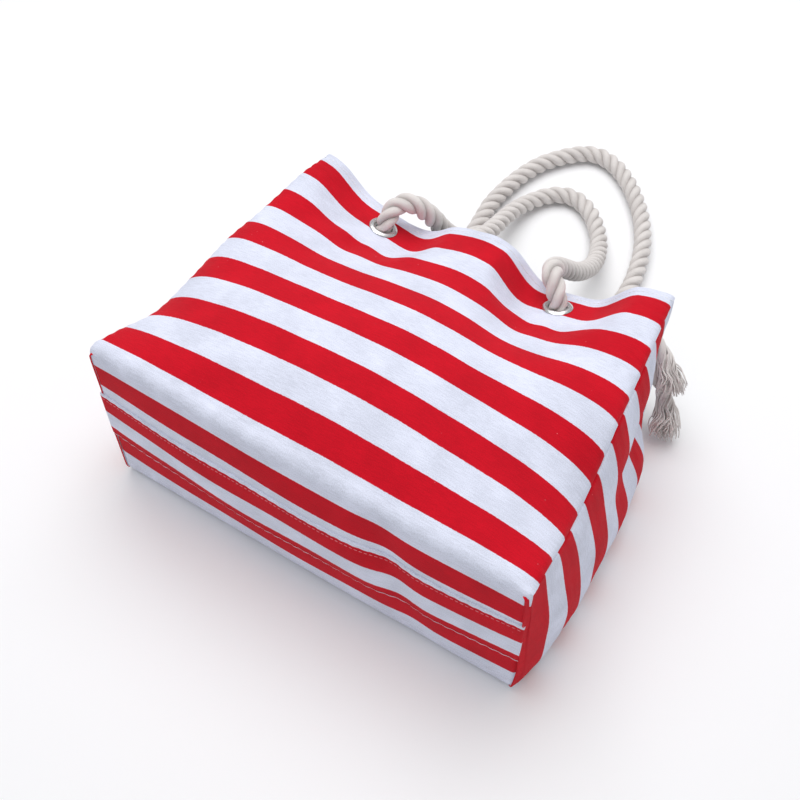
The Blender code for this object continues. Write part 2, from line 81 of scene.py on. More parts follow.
BODY_MIDDLE_Y = 0.1700
BASE_LENGTH = 0.445
BAG_DEPTH = 0.186
BAG_HEIGHT = 0.336
CANVAS = 0.0016
LINING = 0.0008
GAP = 0.0003
LAYER_GAP = 0.0011
FOLD_RADIUS = 0.010
STRIP_LOW, STRIP_HIGH = 0.064, 0.127
HEM = 0.050
STRIPE = 0.028
GROMMET_X, GROMMET_Y = 0.0995, 0.3045
FRONT_SHIFT = -0.0065
FRONT_RUN = 0.985
SWING_STANDOFF = 0.0120
KNOT_RADIUS = 0.0195
KNOT_ROPE = 0.0078
EYELET_BORE, EYELET_BARREL, EYELET_FLANGE = 0.0090, 0.0100, 0.0150
ROPE_RADIUS, TAIL_RADIUS, FRAY_RADIUS = 0.0105, 0.0085, 0.0130

WRAP_Y = CANVAS + GAP
QUARTER = FOLD_RADIUS * math.pi / 4
HEM_STACK = 2 * CANVAS + LAYER_GAP
RIM_RADIUS = HEM_STACK / 2

Array = np.ndarray
Face = Callable[[Array, Array], Array]


class Panel(Enum):
    """The two wrapped panels of the body."""

    FRONT = 1
    BACK = -1


class Side(Enum):
    """The two ends of the bag."""

    LEFT = -1
    RIGHT = 1


class Lay(Enum):
    """Way in which a rope's strands turn about it."""

    RIGHT_HAND = 1
    LEFT_HAND = -1


def through(knots: Sequence[tuple[float, float]], at: Array) -> Array:
    """Read a smooth curve through given knots.

    Args:
        knots: (place, value) pairs in rising order of place.
        at: Places to read.

    Returns:
        The values there.
    """
    xs = np.array([k[0] for k in knots])
    ys = np.array([k[1] for k in knots])
    slope = np.diff(ys) / np.diff(xs)
    lean = np.concatenate([slope[:1], (ys[2:] - ys[:-2]) / (xs[2:] - xs[:-2]), slope[-1:]])
    at = np.clip(at, xs[0], xs[-1])
    i = np.clip(np.searchsorted(xs, at) - 1, 0, len(xs) - 2)
    width = xs[i + 1] - xs[i]
    t = (at - xs[i]) / width
    return ((2 * t**3 - 3 * t**2 + 1) * ys[i] + (t**3 - 2 * t**2 + t) * width * lean[i]
            + (3 * t**2 - 2 * t**3) * ys[i + 1] + (t**3 - t**2) * width * lean[i + 1])


def smooth(low: float, high: float, value: Array) -> Array:
    """Ease from 0 at low to 1 at high."""
    t = np.clip((value - low) / (high - low), 0.0, 1.0)
    return t * t * (3 - 2 * t)


def unit(v: Array) -> Array:
    """Scale vectors to length 1."""
    return v / np.maximum(np.linalg.norm(v, axis=-1, keepdims=True), 1e-12)


@dataclass(frozen=True)
class BodyShape:
    """Curved faces of the sewn body, each as a function of place on its cloth."""

    front_mouth: float = 0.386
    back_mouth: float = 0.384
    rear_lift: float = 0.0262
    base_belly: float = 0.0115
    crown: tuple = ((0.012, 0.000), (0.060, 0.018), (0.115, 0.025), (0.180, 0.018),
                    (0.240, 0.002), (0.295, -0.005), (0.336, -0.010))
    side_rise: tuple = ((0.012, 0.000), (0.080, -0.035), (0.130, -0.030), (0.180, -0.010),
                        (0.240, 0.010), (0.295, 0.022), (0.336, 0.025))
    side_roll: tuple = ((0.000, 0.000), (0.100, 0.015), (0.200, 0.015), (0.336, 0.010))
    gusset_bulge: tuple = ((0.000, 0.003), (0.040, 0.016), (0.090, 0.022), (0.160, 0.026),
                           (0.230, 0.027), (0.260, 0.022), (0.290, 0.011), (0.336, 0.002))
    gusset_crease: tuple = ((0.000, 0.000), (0.140, 0.000), (0.210, 0.014), (0.290, 0.033),
                            (0.336, 0.045))
    # centre x, width and depth of the dip that each front grommet pulls into the cloth
    dips: tuple = ((-0.100, 0.065, 0.040), (0.090, 0.050, 0.042))
    dip_start: float = 0.330
    dip_reach: float = 0.110
    seat_flat: float = 0.025
    seat_ease: float = 0.072
    base_tilt: float = 0.005
    fold_broad: float = 0.0011
    fold_fine: float = 0.00035
    drape_depth: float = 0.0013
    pucker_depth: float = 0.00055
    pucker_pitch: float = 0.0125
    rim_wave_depth: float = 0.0007
    rim_wave_pitch: float = 0.047
    corner_tuck: float = 0.0060
    dent_x: float = 0.105
    dent_width: float = 0.020
    dent_depth: float = 0.0065

    def half_length(self, s: Array, panel: Panel) -> Array:
        """Half of a panel's length at arc height s."""
        mouth = self.front_mouth if panel is Panel.FRONT else self.back_mouth
        share = np.clip(s / BAG_HEIGHT, 0.0, 1.0)
        return BASE_LENGTH / 2 + (mouth - BASE_LENGTH) / 2 * share**1.4

    def grommet_x(self, panel: Panel, side: Side) -> float:
        """X of a grommet on a panel."""
        return side.value * GROMMET_X + (FRONT_SHIFT if panel is Panel.FRONT else 0.0)

    def loose_height(self, x: Array, y: Array) -> Array:
        """Height of the front panel before the grommets hold it flat."""
        across = x / self.half_length(y, Panel.FRONT)
        height = BAG_DEPTH + through(self.crown, y) + through(self.side_rise, y) * across**2
        height = height - through(self.side_roll, y) * across**12
        height = height - self.base_tilt * across * (1 - smooth(0.10, 0.20, y))
        reach = np.exp(-(np.minimum(y - self.dip_start, 0.0) / self.dip_reach) ** 2)
        for centre, width, depth in self.dips:
            height = height - depth * reach * np.exp(-((x - centre) / width) ** 2)
        return height

    def front_height(self, x: Array, y: Array) -> Array:
        """Height of the front panel, with a flat seat round each grommet."""
        height = self.loose_height(x, y)
        step = 0.004
        for side in Side:
            gx, gy = np.array(self.grommet_x(Panel.FRONT, side)), np.array(GROMMET_Y)
            away = np.hypot(x - gx, y - gy)
            rise_x = (self.loose_height(gx + step, gy) - self.loose_height(gx - step, gy)) / (2 * step)
            rise_y = (self.loose_height(gx, gy + step) - self.loose_height(gx, gy - step)) / (2 * step)
            seat = self.loose_height(gx, gy) + rise_x * (x - gx) + rise_y * (y - gy)
            height = height + (seat - height) * (1 - smooth(self.seat_flat, self.seat_ease, away))
        return height

    def ripple(self, x: Array, s: Array, panel: Panel) -> Array:
        """Small folds and seam puckers of a panel, flat round its grommets.

        Args:
            x: Place along the bag.
            s: Arc height from the base fold.
            panel: Which panel.

        Returns:
            Outward offset in metres.
        """
        half = self.half_length(s, panel)
        edge = half - np.abs(x)
        calm = np.ones_like(x + s)
        drape = np.zeros_like(x + s)
        for side in Side:
            gx = self.grommet_x(panel, side)
            away = np.hypot(x - gx, s - GROMMET_Y)
            calm = calm * smooth(0.018, 0.040, away)
            angle = np.arctan2(s - GROMMET_Y, x - gx)
            fade = np.exp(-((away - 0.055) / 0.030) ** 2) * smooth(-0.2, -0.7, np.sin(angle))
            drape = drape + self.drape_depth * fade * np.cos(9 * angle + 0.7 * side.value)
        broad = self.fold_broad * np.sin(31 * x + 17 * s + 0.6) * np.sin(23 * s - 9 * x + 1.1)
        fine = self.fold_fine * np.sin(95 * x - 60 * s) * np.sin(70 * s + 35 * x + 0.4)
        turn = 2 * math.pi * s / self.pucker_pitch + 1.3 * np.sin(40 * s)
        pucker = self.pucker_depth * np.exp(-edge / 0.011) * np.cos(turn)
        rim = np.exp(-((BAG_HEIGHT - s) / 0.010) ** 2)
        turn = 2 * math.pi * x / self.rim_wave_pitch + 0.8 * np.sin(21 * x)
        rim_wave = self.rim_wave_depth * rim * np.sin(turn)
        tuck = self.corner_tuck * np.exp(-(edge / 0.012) ** 2 - ((s - 0.008) / 0.007) ** 2)
        return calm * (drape + broad + fine + rim_wave) + pucker - tuck * (x > 0)

    def belly(self, x: Array, z: Array, y: Array) -> Array:
        """How far the base stands out in its middle."""
        share = np.clip(1 - (x / (BASE_LENGTH / 2)) ** 2, 0, 1)
        share = share * np.sin(math.pi * np.clip(z / BAG_DEPTH, 0, 1))
        wave = 0.0009 * np.sin(38 * x + 55 * z) * share
        aside = (x - self.dent_x + 0.25 * (z - 0.09)) / self.dent_width
        wave = wave - self.dent_depth * np.exp(-(aside**2)) * share
        return (self.base_belly * share + wave) * (1 - smooth(0.002, 0.014, y))

    def front_face(self, u: Array, s: Array) -> Array:
        """Outer face of the front panel: u across from -1 to 1, s up from the base fold."""
        u, s = np.broadcast_arrays(u, s)
        x = self.half_length(s, Panel.FRONT) * u
        fold = self.front_height(x, np.full_like(x, WRAP_Y + FOLD_RADIUS))
        turn = np.clip((s + QUARTER) / FOLD_RADIUS, 0, math.pi / 2)
        y = WRAP_Y + FOLD_RADIUS * (1 - np.cos(turn)) + np.maximum(s - QUARTER, 0) * FRONT_RUN
        low = fold - FOLD_RADIUS * (1 - np.sin(turn)) + np.minimum(s + QUARTER, 0)
        z = np.where(s > QUARTER, self.front_height(x, y), low)
        lift = self.ripple(x, s, Panel.FRONT)
        z = z + lift * smooth(-QUARTER, QUARTER, s)
        return np.stack([x, y - self.belly(x, z, y), z], axis=-1)

    def lifted(self, x: Array, y: Array) -> Array:
        """How far the back panel stands off the ground over the rear rope."""
        lift = np.zeros_like(x + y)
        for side in Side:
            aside = np.maximum(np.abs(x - side.value * GROMMET_X) - 0.026, 0.0)
            short = np.maximum(0.278 - y, 0.0)
            lift = np.maximum(lift, self.rear_lift * np.exp(-(aside / 0.030) ** 2 - (short / 0.045) ** 2))
        return lift

    def back_face(self, u: Array, s: Array) -> Array:
        """Outer face of the back panel: u across from -1 to 1, s up from its base fold."""
        u, s = np.broadcast_arrays(u, s)
        x = self.half_length(s, Panel.BACK) * u
        turn = np.clip((s + QUARTER) / FOLD_RADIUS, 0, math.pi / 2)
        y = WRAP_Y + FOLD_RADIUS * (1 - np.cos(turn)) + np.maximum(s - QUARTER, 0)
        z = FOLD_RADIUS * (1 - np.sin(turn)) - np.minimum(s + QUARTER, 0)
        crumple = np.maximum(self.ripple(x, s, Panel.BACK), 0.0) * smooth(0.02, 0.06, s)
        z = z + np.where(s > QUARTER, self.lifted(x, y) + crumple, 0.0)
        return np.stack([x, y - self.belly(x, z, y), z], axis=-1)

    def face_of(self, panel: Panel) -> Face:
        """The outer face of a panel."""
        return self.front_face if panel is Panel.FRONT else self.back_face

    def normal(self, face: Face, a: Array, b: Array, toward: Array) -> Array:
        """Unit normals of a face.

        Args:
            face: The face's own function.
            a: First coordinate of each place.
            b: Second coordinate of each place.
            toward: Rough outward directions.

        Returns:
            Normals on the outward side.
        """
        step = 0.0015
        along_a = face(a + step, b) - face(a - step, b)
        along_b = face(a, b + step) - face(a, b - step)
        normal = unit(np.cross(along_a, along_b))
        return normal * np.sign((normal * toward).sum(-1, keepdims=True) + 1e-12)

    def panel_inside(self, panel: Panel, u: Array, s: Array, depth: float | Array) -> Array:
        """Places of a panel moved inwards by a depth."""
        u, s = np.broadcast_arrays(u, s)
        face = self.face_of(panel)
        under = s < -QUARTER
        out = np.stack([0 * s, np.where(under, -1.0, -0.37), np.where(under, 0.0, 0.93)], axis=-1)
        out[..., 2] *= panel.value
        return face(u, s) - self.normal(face, u, s, out) * np.asarray(depth)[..., None]

    def gusset_face(self, side: Side, v: Array, s: Array) -> Array:
        """Outer face of a gusset: v from 0 at the back seam to 1 at the front seam."""
        v, s = np.broadcast_arrays(v, s)
        v = np.clip(v, 0.0, 1.0)
        below = np.minimum(s, 0.0)
        s = np.maximum(s, 0.0)
        edge = np.full_like(v, side.value * 0.998)
        top = self.panel_inside(Panel.FRONT, edge, s, CANVAS + 0.0012)
        bottom = self.panel_inside(Panel.BACK, edge, s, CANVAS + 0.0012)
        point = bottom + (top - bottom) * v[..., None]
        bulge = through(self.gusset_bulge, s) * np.sin(math.pi * v**0.55) ** 0.7
        crease = through(self.gusset_crease, s) * np.exp(-((v - 0.52) / 0.17) ** 2)
        held = np.clip(4 * v * (1 - v), 0, 1) ** 0.7
        folds = 0.0016 * np.sin(52 * s + 3.1 * v + side.value) * np.sin(7 * v + 21 * s)
        tucks = 0.0008 * np.exp(-np.minimum(v, 1 - v) / 0.06) * np.cos(2 * math.pi * s / 0.013)
        point[..., 0] += side.value * (bulge - crease + (folds + tucks) * held + 0.4 * below)
        point[..., 1] += below
        return point

    def gusset_inside(self, side: Side, v: Array, s: Array, depth: float | Array) -> Array:
        """Places of a gusset moved inwards by a depth."""
        v, s = np.broadcast_arrays(v, s)
        face = partial(self.gusset_face, side)
        out = np.zeros(v.shape + (3,))
        out[..., 0] = side.value
        return face(v, s) - self.normal(face, v, s, out) * np.asarray(depth)[..., None]

    def grommet(self, panel: Panel, side: Side) -> tuple[Array, Array]:
        """Place of a grommet on a panel's outer face and the outward direction there."""
        rise = FRONT_RUN if panel is Panel.FRONT else 1.0
        arc = np.array((GROMMET_Y - WRAP_Y - FOLD_RADIUS) / rise + QUARTER)
        u = np.array(self.grommet_x(panel, side)) / self.half_length(arc, panel)
        face = self.face_of(panel)
        out = np.array([0.0, 0.0, float(panel.value)])
        return face(u, arc), self.normal(face, u, arc, out)


def in_row(points: Array) -> Array:
    """Turn bag coordinates into the row frame."""
    return np.asarray(points, float) - np.array([0.0, BODY_MIDDLE_Y, 0.0])


def link_mesh(name: str, points: Array, faces: list, material: bpy.types.Material) -> bpy.types.Object:
    """Make an object at the origin from points in the row frame.

    Args:
        name: Piece name.
        points: Corner places.
        faces: Corner indices of each face.
        material: Its finish.

    Returns:
        The new object.
    """
    mesh = bpy.data.meshes.new(name)
    mesh.from_pydata(np.asarray(points).tolist(), [], faces)
    mesh.materials.append(material)
    mesh.shade_smooth()
    piece = bpy.data.objects.new(name, mesh)
    bpy.context.scene.collection.objects.link(piece)
    return piece


def quads_of(rows: int, columns: int, offset: int, wrap: bool = False) -> Array:
    """Corner indices of a grid's quads.

    Args:
        rows: Rows of points.
        columns: Points in a row.
        offset: Index of the first point.
        wrap: Whether each row closes on itself.

    Returns:
        One row of four indices for each quad.
    """
    last = columns if wrap else columns - 1
    j, i = np.meshgrid(np.arange(rows - 1), np.arange(last), indexing="ij")
    k = (i + 1) % columns
    grid = np.stack([j * columns + i, j * columns + k, (j + 1) * columns + k, (j + 1) * columns + i], -1)
    return grid.reshape(-1, 4) + offset


def cloth_piece(name: str, outer: Array, inner: Array, uv: Array, material: bpy.types.Material,
                reverse: bpy.types.Material | None = None) -> bpy.types.Object:
    """Make a closed sheet from its two faces.

    Args:
        name: Piece name.
        outer: Grid of places on the outer face, in bag coordinates.
        inner: The same grid on the inner face.
        uv: Place on the cloth of each grid point, in metres.
        material: Its finish.
        reverse: Finish of its inner face, where that differs.

    Returns:
        The sheet.
    """
    rows, columns = outer.shape[:2]
    count = rows * columns
    points = np.concatenate([outer.reshape(-1, 3), inner.reshape(-1, 3)])
    front = quads_of(rows, columns, 0)
    j, i = rows // 2, columns // 2
    across = np.cross(outer[j, i + 1] - outer[j, i], outer[j + 1, i] - outer[j, i])
    if across @ (outer[j, i] - inner[j, i]) < 0:
        front = front[:, ::-1]
    back = front[:, ::-1] + count
    ring = ([i for i in range(columns)] + [j * columns + columns - 1 for j in range(1, rows)]
            + [(rows - 1) * columns + i for i in range(columns - 2, -1, -1)]
            + [j * columns for j in range(rows - 2, 0, -1)])
    ring = np.array(ring)
    after = np.roll(ring, -1)
    wall = np.stack([ring, ring + count, after + count, after], -1)
    if across @ (outer[j, i] - inner[j, i]) < 0:
        wall = wall[:, ::-1]
    faces = np.concatenate([front, back, wall])
    piece = link_mesh(name, in_row(points), faces.tolist(), material)
    if reverse:
        piece.data.materials.append(reverse)
        side = np.zeros(len(faces), np.int32)
        side[len(front):2 * len(front)] = 1
        piece.data.polygons.foreach_set("material_index", side)
    layer = piece.data.uv_layers.new(name="cloth")
    flat = np.tile(uv.reshape(-1, 2), (2, 1))[faces.ravel()]
    layer.data.foreach_set("uv", flat.astype(np.float32).ravel())
    piece.data.set_sharp_from_angle(angle=math.radians(50))
    return piece


def face_outwards(piece: bpy.types.Object) -> None:
    """Turn a closed piece's faces outwards."""
    bm = bmesh.new()
    bm.from_mesh(piece.data)
    bmesh.ops.recalc_face_normals(bm, faces=bm.faces)
    bm.to_mesh(piece.data)
    bm.free()


def on_bag(piece: bpy.types.Object, node: str | None = None) -> None:
    """Fix a piece to the bag's body.

    Args:
        piece: The piece.
        node: CAD node it stands for, if any.
    """
    if node:
        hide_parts(node)
    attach(piece, "bag")


def turned_piece(name: str, profile: Sequence[tuple[float, float]], place: Array, out: Array,
                 material: bpy.types.Material, steps: int = 72) -> bpy.types.Object:
    """Turn a closed (radius, height) profile about an axis.

    Args:
        name: Piece name.
        profile: Corners of the section, anticlockwise seen with radius to the right.
        place: Where height 0 is, in bag coordinates.
        out: Direction of the axis.
        material: Its finish.
        steps: Steps round the axis.

    Returns:
        The turned ring.
    """
    side = unit(np.cross(out, np.array([0.0, 1.0, 0.1])))
    other = np.cross(out, side)
    angles = np.arange(steps) * 2 * math.pi / steps
    ring = np.cos(angles)[:, None] * side + np.sin(angles)[:, None] * other
    section = np.array(profile)
    points = place + section[:, 0, None, None] * ring + section[:, 1, None, None] * out
    closed = np.concatenate([points, points[:1]])
    grid = quads_of(len(closed), steps, 0, wrap=True) % (len(points) * steps)
    piece = link_mesh(name, in_row(points.reshape(-1, 3)), grid.tolist(), material)
    face_outwards(piece)
    piece.data.set_sharp_from_angle(angle=math.radians(60))
    return piece


def settled(piece: bpy.types.Object) -> bpy.types.Object:
    """Turn a piece's modifiers into a plain mesh."""
    graph = bpy.context.evaluated_depsgraph_get()
    mesh = bpy.data.meshes.new_from_object(piece.evaluated_get(graph))
    piece.modifiers.clear()
    piece.data = mesh
    return piece


def punch(piece: bpy.types.Object, place: Array, out: Array, radius: float) -> bpy.types.Object:
    """Cut a grommet's round hole through a cloth piece.

    Args:
        piece: The cloth.
        place: Centre of the hole, in bag coordinates.
        out: Direction square to the cloth.
        radius: Hole radius.

    Returns:
        The piece with its hole.
    """
    plug = turned_piece("plug", [(0.0004, -0.02), (radius, -0.02), (radius, 0.012), (0.0004, 0.012)],
                        place, out, piece.data.materials[0], 48)
    cut = piece.modifiers.new("hole", "BOOLEAN")
    cut.operation = "DIFFERENCE"
    cut.solver = "EXACT"
    cut.object = plug
    settled(piece)
    bpy.data.objects.remove(plug)
    return piece


def travelled(path: Array) -> Array:
    """Distance along a path at each of its places."""
    return np.concatenate([[0], np.cumsum(np.linalg.norm(np.diff(path, axis=0), axis=1))])


def even_path(points: Sequence, pitch: float) -> Array:
    """Read a smooth curve through points at an even pitch.

    Args:
        points: Places that the curve passes.
        pitch: Wanted distance between the results.

    Returns:
        The places along the curve.
    """
    p = np.asarray(points, float)
    ends = np.concatenate([[2 * p[0] - p[1]], p, [2 * p[-1] - p[-2]]])
    t = (np.arange(16) / 16)[:, None]
    fine = []
    for a, b, c, d in zip(ends, ends[1:], ends[2:], ends[3:]):
        fine.append(0.5 * (2 * b + (c - a) * t + (2 * a - 5 * b + 4 * c - d) * t**2
                           + (3 * b - a - 3 * c + d) * t**3))
    fine = np.concatenate(fine + [p[-1:]])
    run = travelled(fine)
    at = np.linspace(0, run[-1], max(round(run[-1] / pitch), 4) + 1)
    return np.stack([np.interp(at, run, fine[:, k]) for k in range(3)], -1)


def carried_axes(path: Array, closed: bool = False) -> tuple[Array, Array, Array]:
    """Axes carried along a path without needless twist.

    Args:
        path: Places along it.
        closed: Whether its end meets its start.

    Returns:
        Directions along, aside and across at each place.
    """
    if closed:
        along = unit(np.roll(path, -1, axis=0) - np.roll(path, 1, axis=0))
    else:
        along = unit(np.gradient(path, axis=0))
    aside = np.zeros_like(path)
    first = np.cross(along[0], [0.0, 0.0, 1.0])
    if np.linalg.norm(first) < 0.1:
        first = np.cross(along[0], [0.0, 1.0, 0.0])
    aside[0] = unit(first)
    for i in range(1, len(path)):
        step = aside[i - 1] - along[i] * (aside[i - 1] @ along[i])
        aside[i] = unit(step)
    if closed:
        last = aside[-1] - along[0] * (aside[-1] @ along[0])
        drift = math.atan2(float(last @ np.cross(along[0], aside[0])), float(last @ aside[0]))
        turn = (-drift * np.arange(len(path)) / len(path))[:, None]
        aside = aside * np.cos(turn) + np.cross(along, aside) * np.sin(turn)
    return along, aside, np.cross(along, aside)


@dataclass(frozen=True)
class RopeLay:
    """How a three-strand rope is laid."""

    strands: int = 3
    lay_length: float = 0.046
    yarns: int = 9
    yarn_depth: float = 0.055
    yarn_turns: float = 2.2
    around: int = 36
    step: float = 0.0024
    hand: Lay = Lay.RIGHT_HAND

    def mesh(self, name: str, path: Array, radius: Array, material: bpy.types.Material,
             closed: bool = False) -> bpy.types.Object:
        """Lay the strands along a path.

        Args:
            name: Piece name.
            path: Even places along the rope, in bag coordinates.
            radius: Rope radius at each place.
            material: Its finish.
            closed: Whether the rope's end meets its start.

        Returns:
            The rope, with a point attribute that holds painted shade between its strands and yarns.
        """
        along, aside, across = carried_axes(path, closed)
        run = travelled(path)
        turns = run / self.lay_length
        if closed:
            whole = run[-1] + np.linalg.norm(path[0] - path[-1])
            turns = run / whole * max(round(whole / self.lay_length * self.strands), 1) / self.strands
        share = 1 / (1 + 2 / math.sqrt(3))
        strand_radius = radius * share * 1.06
        offset = radius - strand_radius
        angles = np.arange(self.around) * 2 * math.pi / self.around
        points, faces, groove_shade, uvs = [], [], [], []
        rings = len(path)
        for k in range(self.strands):
            turn = self.hand.value * 2 * math.pi * (turns + k / self.strands)
            way = np.cos(turn)[:, None] * aside + np.sin(turn)[:, None] * across
            beside = np.cross(along, way)
            centre = path + way * offset[:, None]
            lean = unit(along * self.lay_length + beside * self.hand.value
                        * (2 * math.pi * offset)[:, None])
            side = unit(np.cross(lean, way))
            twist = self.hand.value * self.yarns * self.yarn_turns * 2 * math.pi * turns
            wave = np.cos(self.yarns * angles[None, :] + twist[:, None])
            swell = 1 - self.yarn_depth * (1 - np.abs(wave))
            grid = centre[:, None] + (strand_radius[:, None] * swell)[..., None] * (
                np.cos(angles)[None, :, None] * way[:, None] + np.sin(angles)[None, :, None] * side[:, None])
            base = len(points) * rings * self.around
            faces.append(quads_of(rings, self.around, base, wrap=True))
            if closed:
                head = base + np.arange(self.around)
                tail = head + (rings - 1) * self.around
                faces.append(np.stack([tail, np.roll(tail, -1), np.roll(head, -1), head], -1))
            points.append(grid.reshape(-1, 3))
            # Painted shade: darker in the hollows between yarns and on each strand's inner side, where the
            # strands press together.
            inward = 0.5 - 0.5 * np.cos(angles)
            groove_shade.append((0.45 * (1 - np.abs(wave)) + 0.9 * inward[None, :] ** 0.8).ravel())
        count = self.strands * rings * self.around
        points = np.concatenate(points)
        faces = np.concatenate(faces).tolist()
        groove_shade = list(np.clip(np.concatenate(groove_shade), 0, 1))
        if not closed:
            extra = []
            for k in range(self.strands):
                for ring, flip in ((0, True), (rings - 1, False)):
                    start = (k * rings + ring) * self.around
                    loop = points[start:start + self.around]
                    extra.append(loop.mean(0) + along[ring] * (-0.003 if flip else 0.003))
                    tip = count + len(extra) - 1
                    # The tip of each strand's end cap gets a middling painted shade.
                    groove_shade.append(0.6)
                    for a in range(self.around):
                        b = (a + 1) % self.around
                        pair = (start + b, start + a) if flip else (start + a, start + b)
                        faces.append([pair[0], pair[1], tip])
            points = np.concatenate([points, np.array(extra)])
        piece = link_mesh(name, in_row(points), faces, material)
        shade = piece.data.attributes.new("groove_shade", "FLOAT", "POINT")
        shade.data.foreach_set("value", np.array(groove_shade, np.float32))
        face_outwards(piece)
        return piece


class Wiring:
    """Short calls for laying out a node tree."""

    def __init__(self, tree: bpy.types.NodeTree) -> None:
        """Keep the tree."""
        self.tree = tree

    def node(self, kind: str, **settings: object) -> bpy.types.Node:
        """Add a node.

        Args:
            kind: Its type name.
            **settings: Properties to set on it.

        Returns:
            The node.
        """
        made = self.tree.nodes.new(kind)
        for key, value in settings.items():
            setattr(made, key, value)
        return made

    def join(self, source: bpy.types.NodeSocket, target: bpy.types.NodeSocket) -> None:
        """Link two sockets."""
        self.tree.links.new(source, target)

    def feed(self, socket: bpy.types.NodeSocket, value: object) -> None:
        """Set a socket's value, or link it if the value is a socket."""
        if isinstance(value, bpy.types.NodeSocket):
            self.join(value, socket)
        else:
            socket.default_value = value

    def math(self, operation: str, *values: object, clamp: bool = False) -> bpy.types.NodeSocket:
        """Add a Math node and return its result."""
        made = self.node("ShaderNodeMath", operation=operation, use_clamp=clamp)
        for socket, value in zip(made.inputs, values):
            self.feed(socket, value)
        return made.outputs[0]

    def spread(self, value: object, low: float, high: float, to_low: float,
               to_high: float) -> bpy.types.NodeSocket:
        """Map a range of values smoothly onto another."""
        made = self.node("ShaderNodeMapRange", interpolation_type="SMOOTHSTEP")
        for key, number in (("Value", value), ("From Min", low), ("From Max", high),
                            ("To Min", to_low), ("To Max", to_high)):
            self.feed(made.inputs[key], number)
        return made.outputs[0]

    def blend(self, factor: object, first: object, second: object,
              mode: str = "MIX") -> bpy.types.NodeSocket:
        """Mix two colours and return the result."""
        made = self.node("ShaderNodeMix", data_type="RGBA", blend_type=mode)
        self.feed(made.inputs[0], factor)
        self.feed(made.inputs[6], first)
        self.feed(made.inputs[7], second)
        return made.outputs[2]

    def noise(self, vector: bpy.types.NodeSocket, scale: float, detail: float = 2.0) -> bpy.types.NodeSocket:
        """Add a noise texture and return its value."""
        made = self.node("ShaderNodeTexNoise")
        self.join(vector, made.inputs["Vector"])
        made.inputs["Scale"].default_value = scale
        made.inputs["Detail"].default_value = detail
        return made.outputs[0]


def new_group(name: str, inputs: Sequence[tuple[str, str, float | None]],
              outputs: Sequence[tuple[str, str]],
              ) -> tuple[bpy.types.NodeTree, Wiring, bpy.types.Node, bpy.types.Node]:
    """Start a shader node group.

    Args:
        name: Group name.
        inputs: (name, socket type, default) of each input.
        outputs: (name, socket type) of each output.

    Returns:
        The group, its wiring, its input node and its output node.
    """
    tree = bpy.data.node_groups.new(name, "ShaderNodeTree")
    for label, kind, value in inputs:
        socket = tree.interface.new_socket(label, in_out="INPUT", socket_type=kind)
        if value is not None:
            socket.default_value = value
    for label, kind in outputs:
        tree.interface.new_socket(label, in_out="OUTPUT", socket_type=kind)
    wiring = Wiring(tree)
    return tree, wiring, wiring.node("NodeGroupInput"), wiring.node("NodeGroupOutput")


def make_weave() -> bpy.types.NodeTree:
    """Make the plain weave: thread heights, uneven yarns and specks of lint."""
    tree, w, start, end = new_group(
        "plain_weave",
        [("Cloth", "NodeSocketVector", None), ("Pitch", "NodeSocketFloat", 0.0011)],
        [("Height", "NodeSocketFloat"), ("Shade", "NodeSocketFloat"), ("Lint", "NodeSocketFloat")])
    cloth = start.outputs["Cloth"]
    parts = w.node("ShaderNodeSeparateXYZ")
    w.join(cloth, parts.inputs[0])
    turn = w.math("DIVIDE", 2 * math.pi, start.outputs["Pitch"])
    warp = w.math("SINE", w.math("MULTIPLY", parts.outputs[0], turn))
    weft = w.math("SINE", w.math("MULTIPLY", parts.outputs[1], turn))
    crossing = w.math("MULTIPLY", warp, weft)
    slub = w.node("ShaderNodeMapping")
    w.join(cloth, slub.inputs["Vector"])
    slub.inputs["Scale"].default_value = (1.0, 9.0, 1.0)
    uneven = w.noise(slub.outputs[0], 95.0, 3.0)
    grain = w.noise(cloth, 1150.0, 2.0)
    height = w.math("ADD", w.math("MULTIPLY", crossing, 0.5), w.math("MULTIPLY", grain, 1.3))
    w.join(w.math("ADD", height, w.math("MULTIPLY", uneven, 0.8)), end.inputs["Height"])
    cloud = w.noise(cloth, 26.0, 3.0)
    shade = w.math("ADD", w.math("MULTIPLY", grain, 0.42), w.math("MULTIPLY", uneven, 0.28))
    w.join(w.math("ADD", shade, w.math("MULTIPLY", cloud, 0.30)), end.inputs["Shade"])
    dots = w.node("ShaderNodeTexVoronoi", feature="F1")
    w.join(cloth, dots.inputs["Vector"])
    dots.inputs["Scale"].default_value = 130.0
    near = w.spread(dots.outputs["Distance"], 0.03, 0.09, 1.0, 0.0)
    some = w.spread(w.noise(cloth, 60.0, 1.0), 0.60, 0.72, 0.0, 1.0)
    w.join(w.math("MULTIPLY", near, some), end.inputs["Lint"])
    return tree


def make_fibres() -> bpy.types.NodeTree:
    """Make loose cotton fibre: a fine height and an uneven tone."""
    tree, w, start, end = new_group(
        "cotton_fibre", [("Place", "NodeSocketVector", None), ("Fineness", "NodeSocketFloat", 900.0)],
        [("Height", "NodeSocketFloat"), ("Tone", "NodeSocketFloat")])
    fine = w.node("ShaderNodeTexNoise")
    w.join(start.outputs["Place"], fine.inputs["Vector"])
    w.join(start.outputs["Fineness"], fine.inputs["Scale"])
    fine.inputs["Detail"].default_value = 4.0
    w.join(fine.outputs[0], end.inputs["Height"])
    broad = w.noise(start.outputs["Place"], 70.0, 3.0)
    mixed = w.math("ADD", w.math("MULTIPLY", broad, 0.6), w.math("MULTIPLY", fine.outputs[0], 0.4))
    w.join(mixed, end.inputs["Tone"])
    return tree


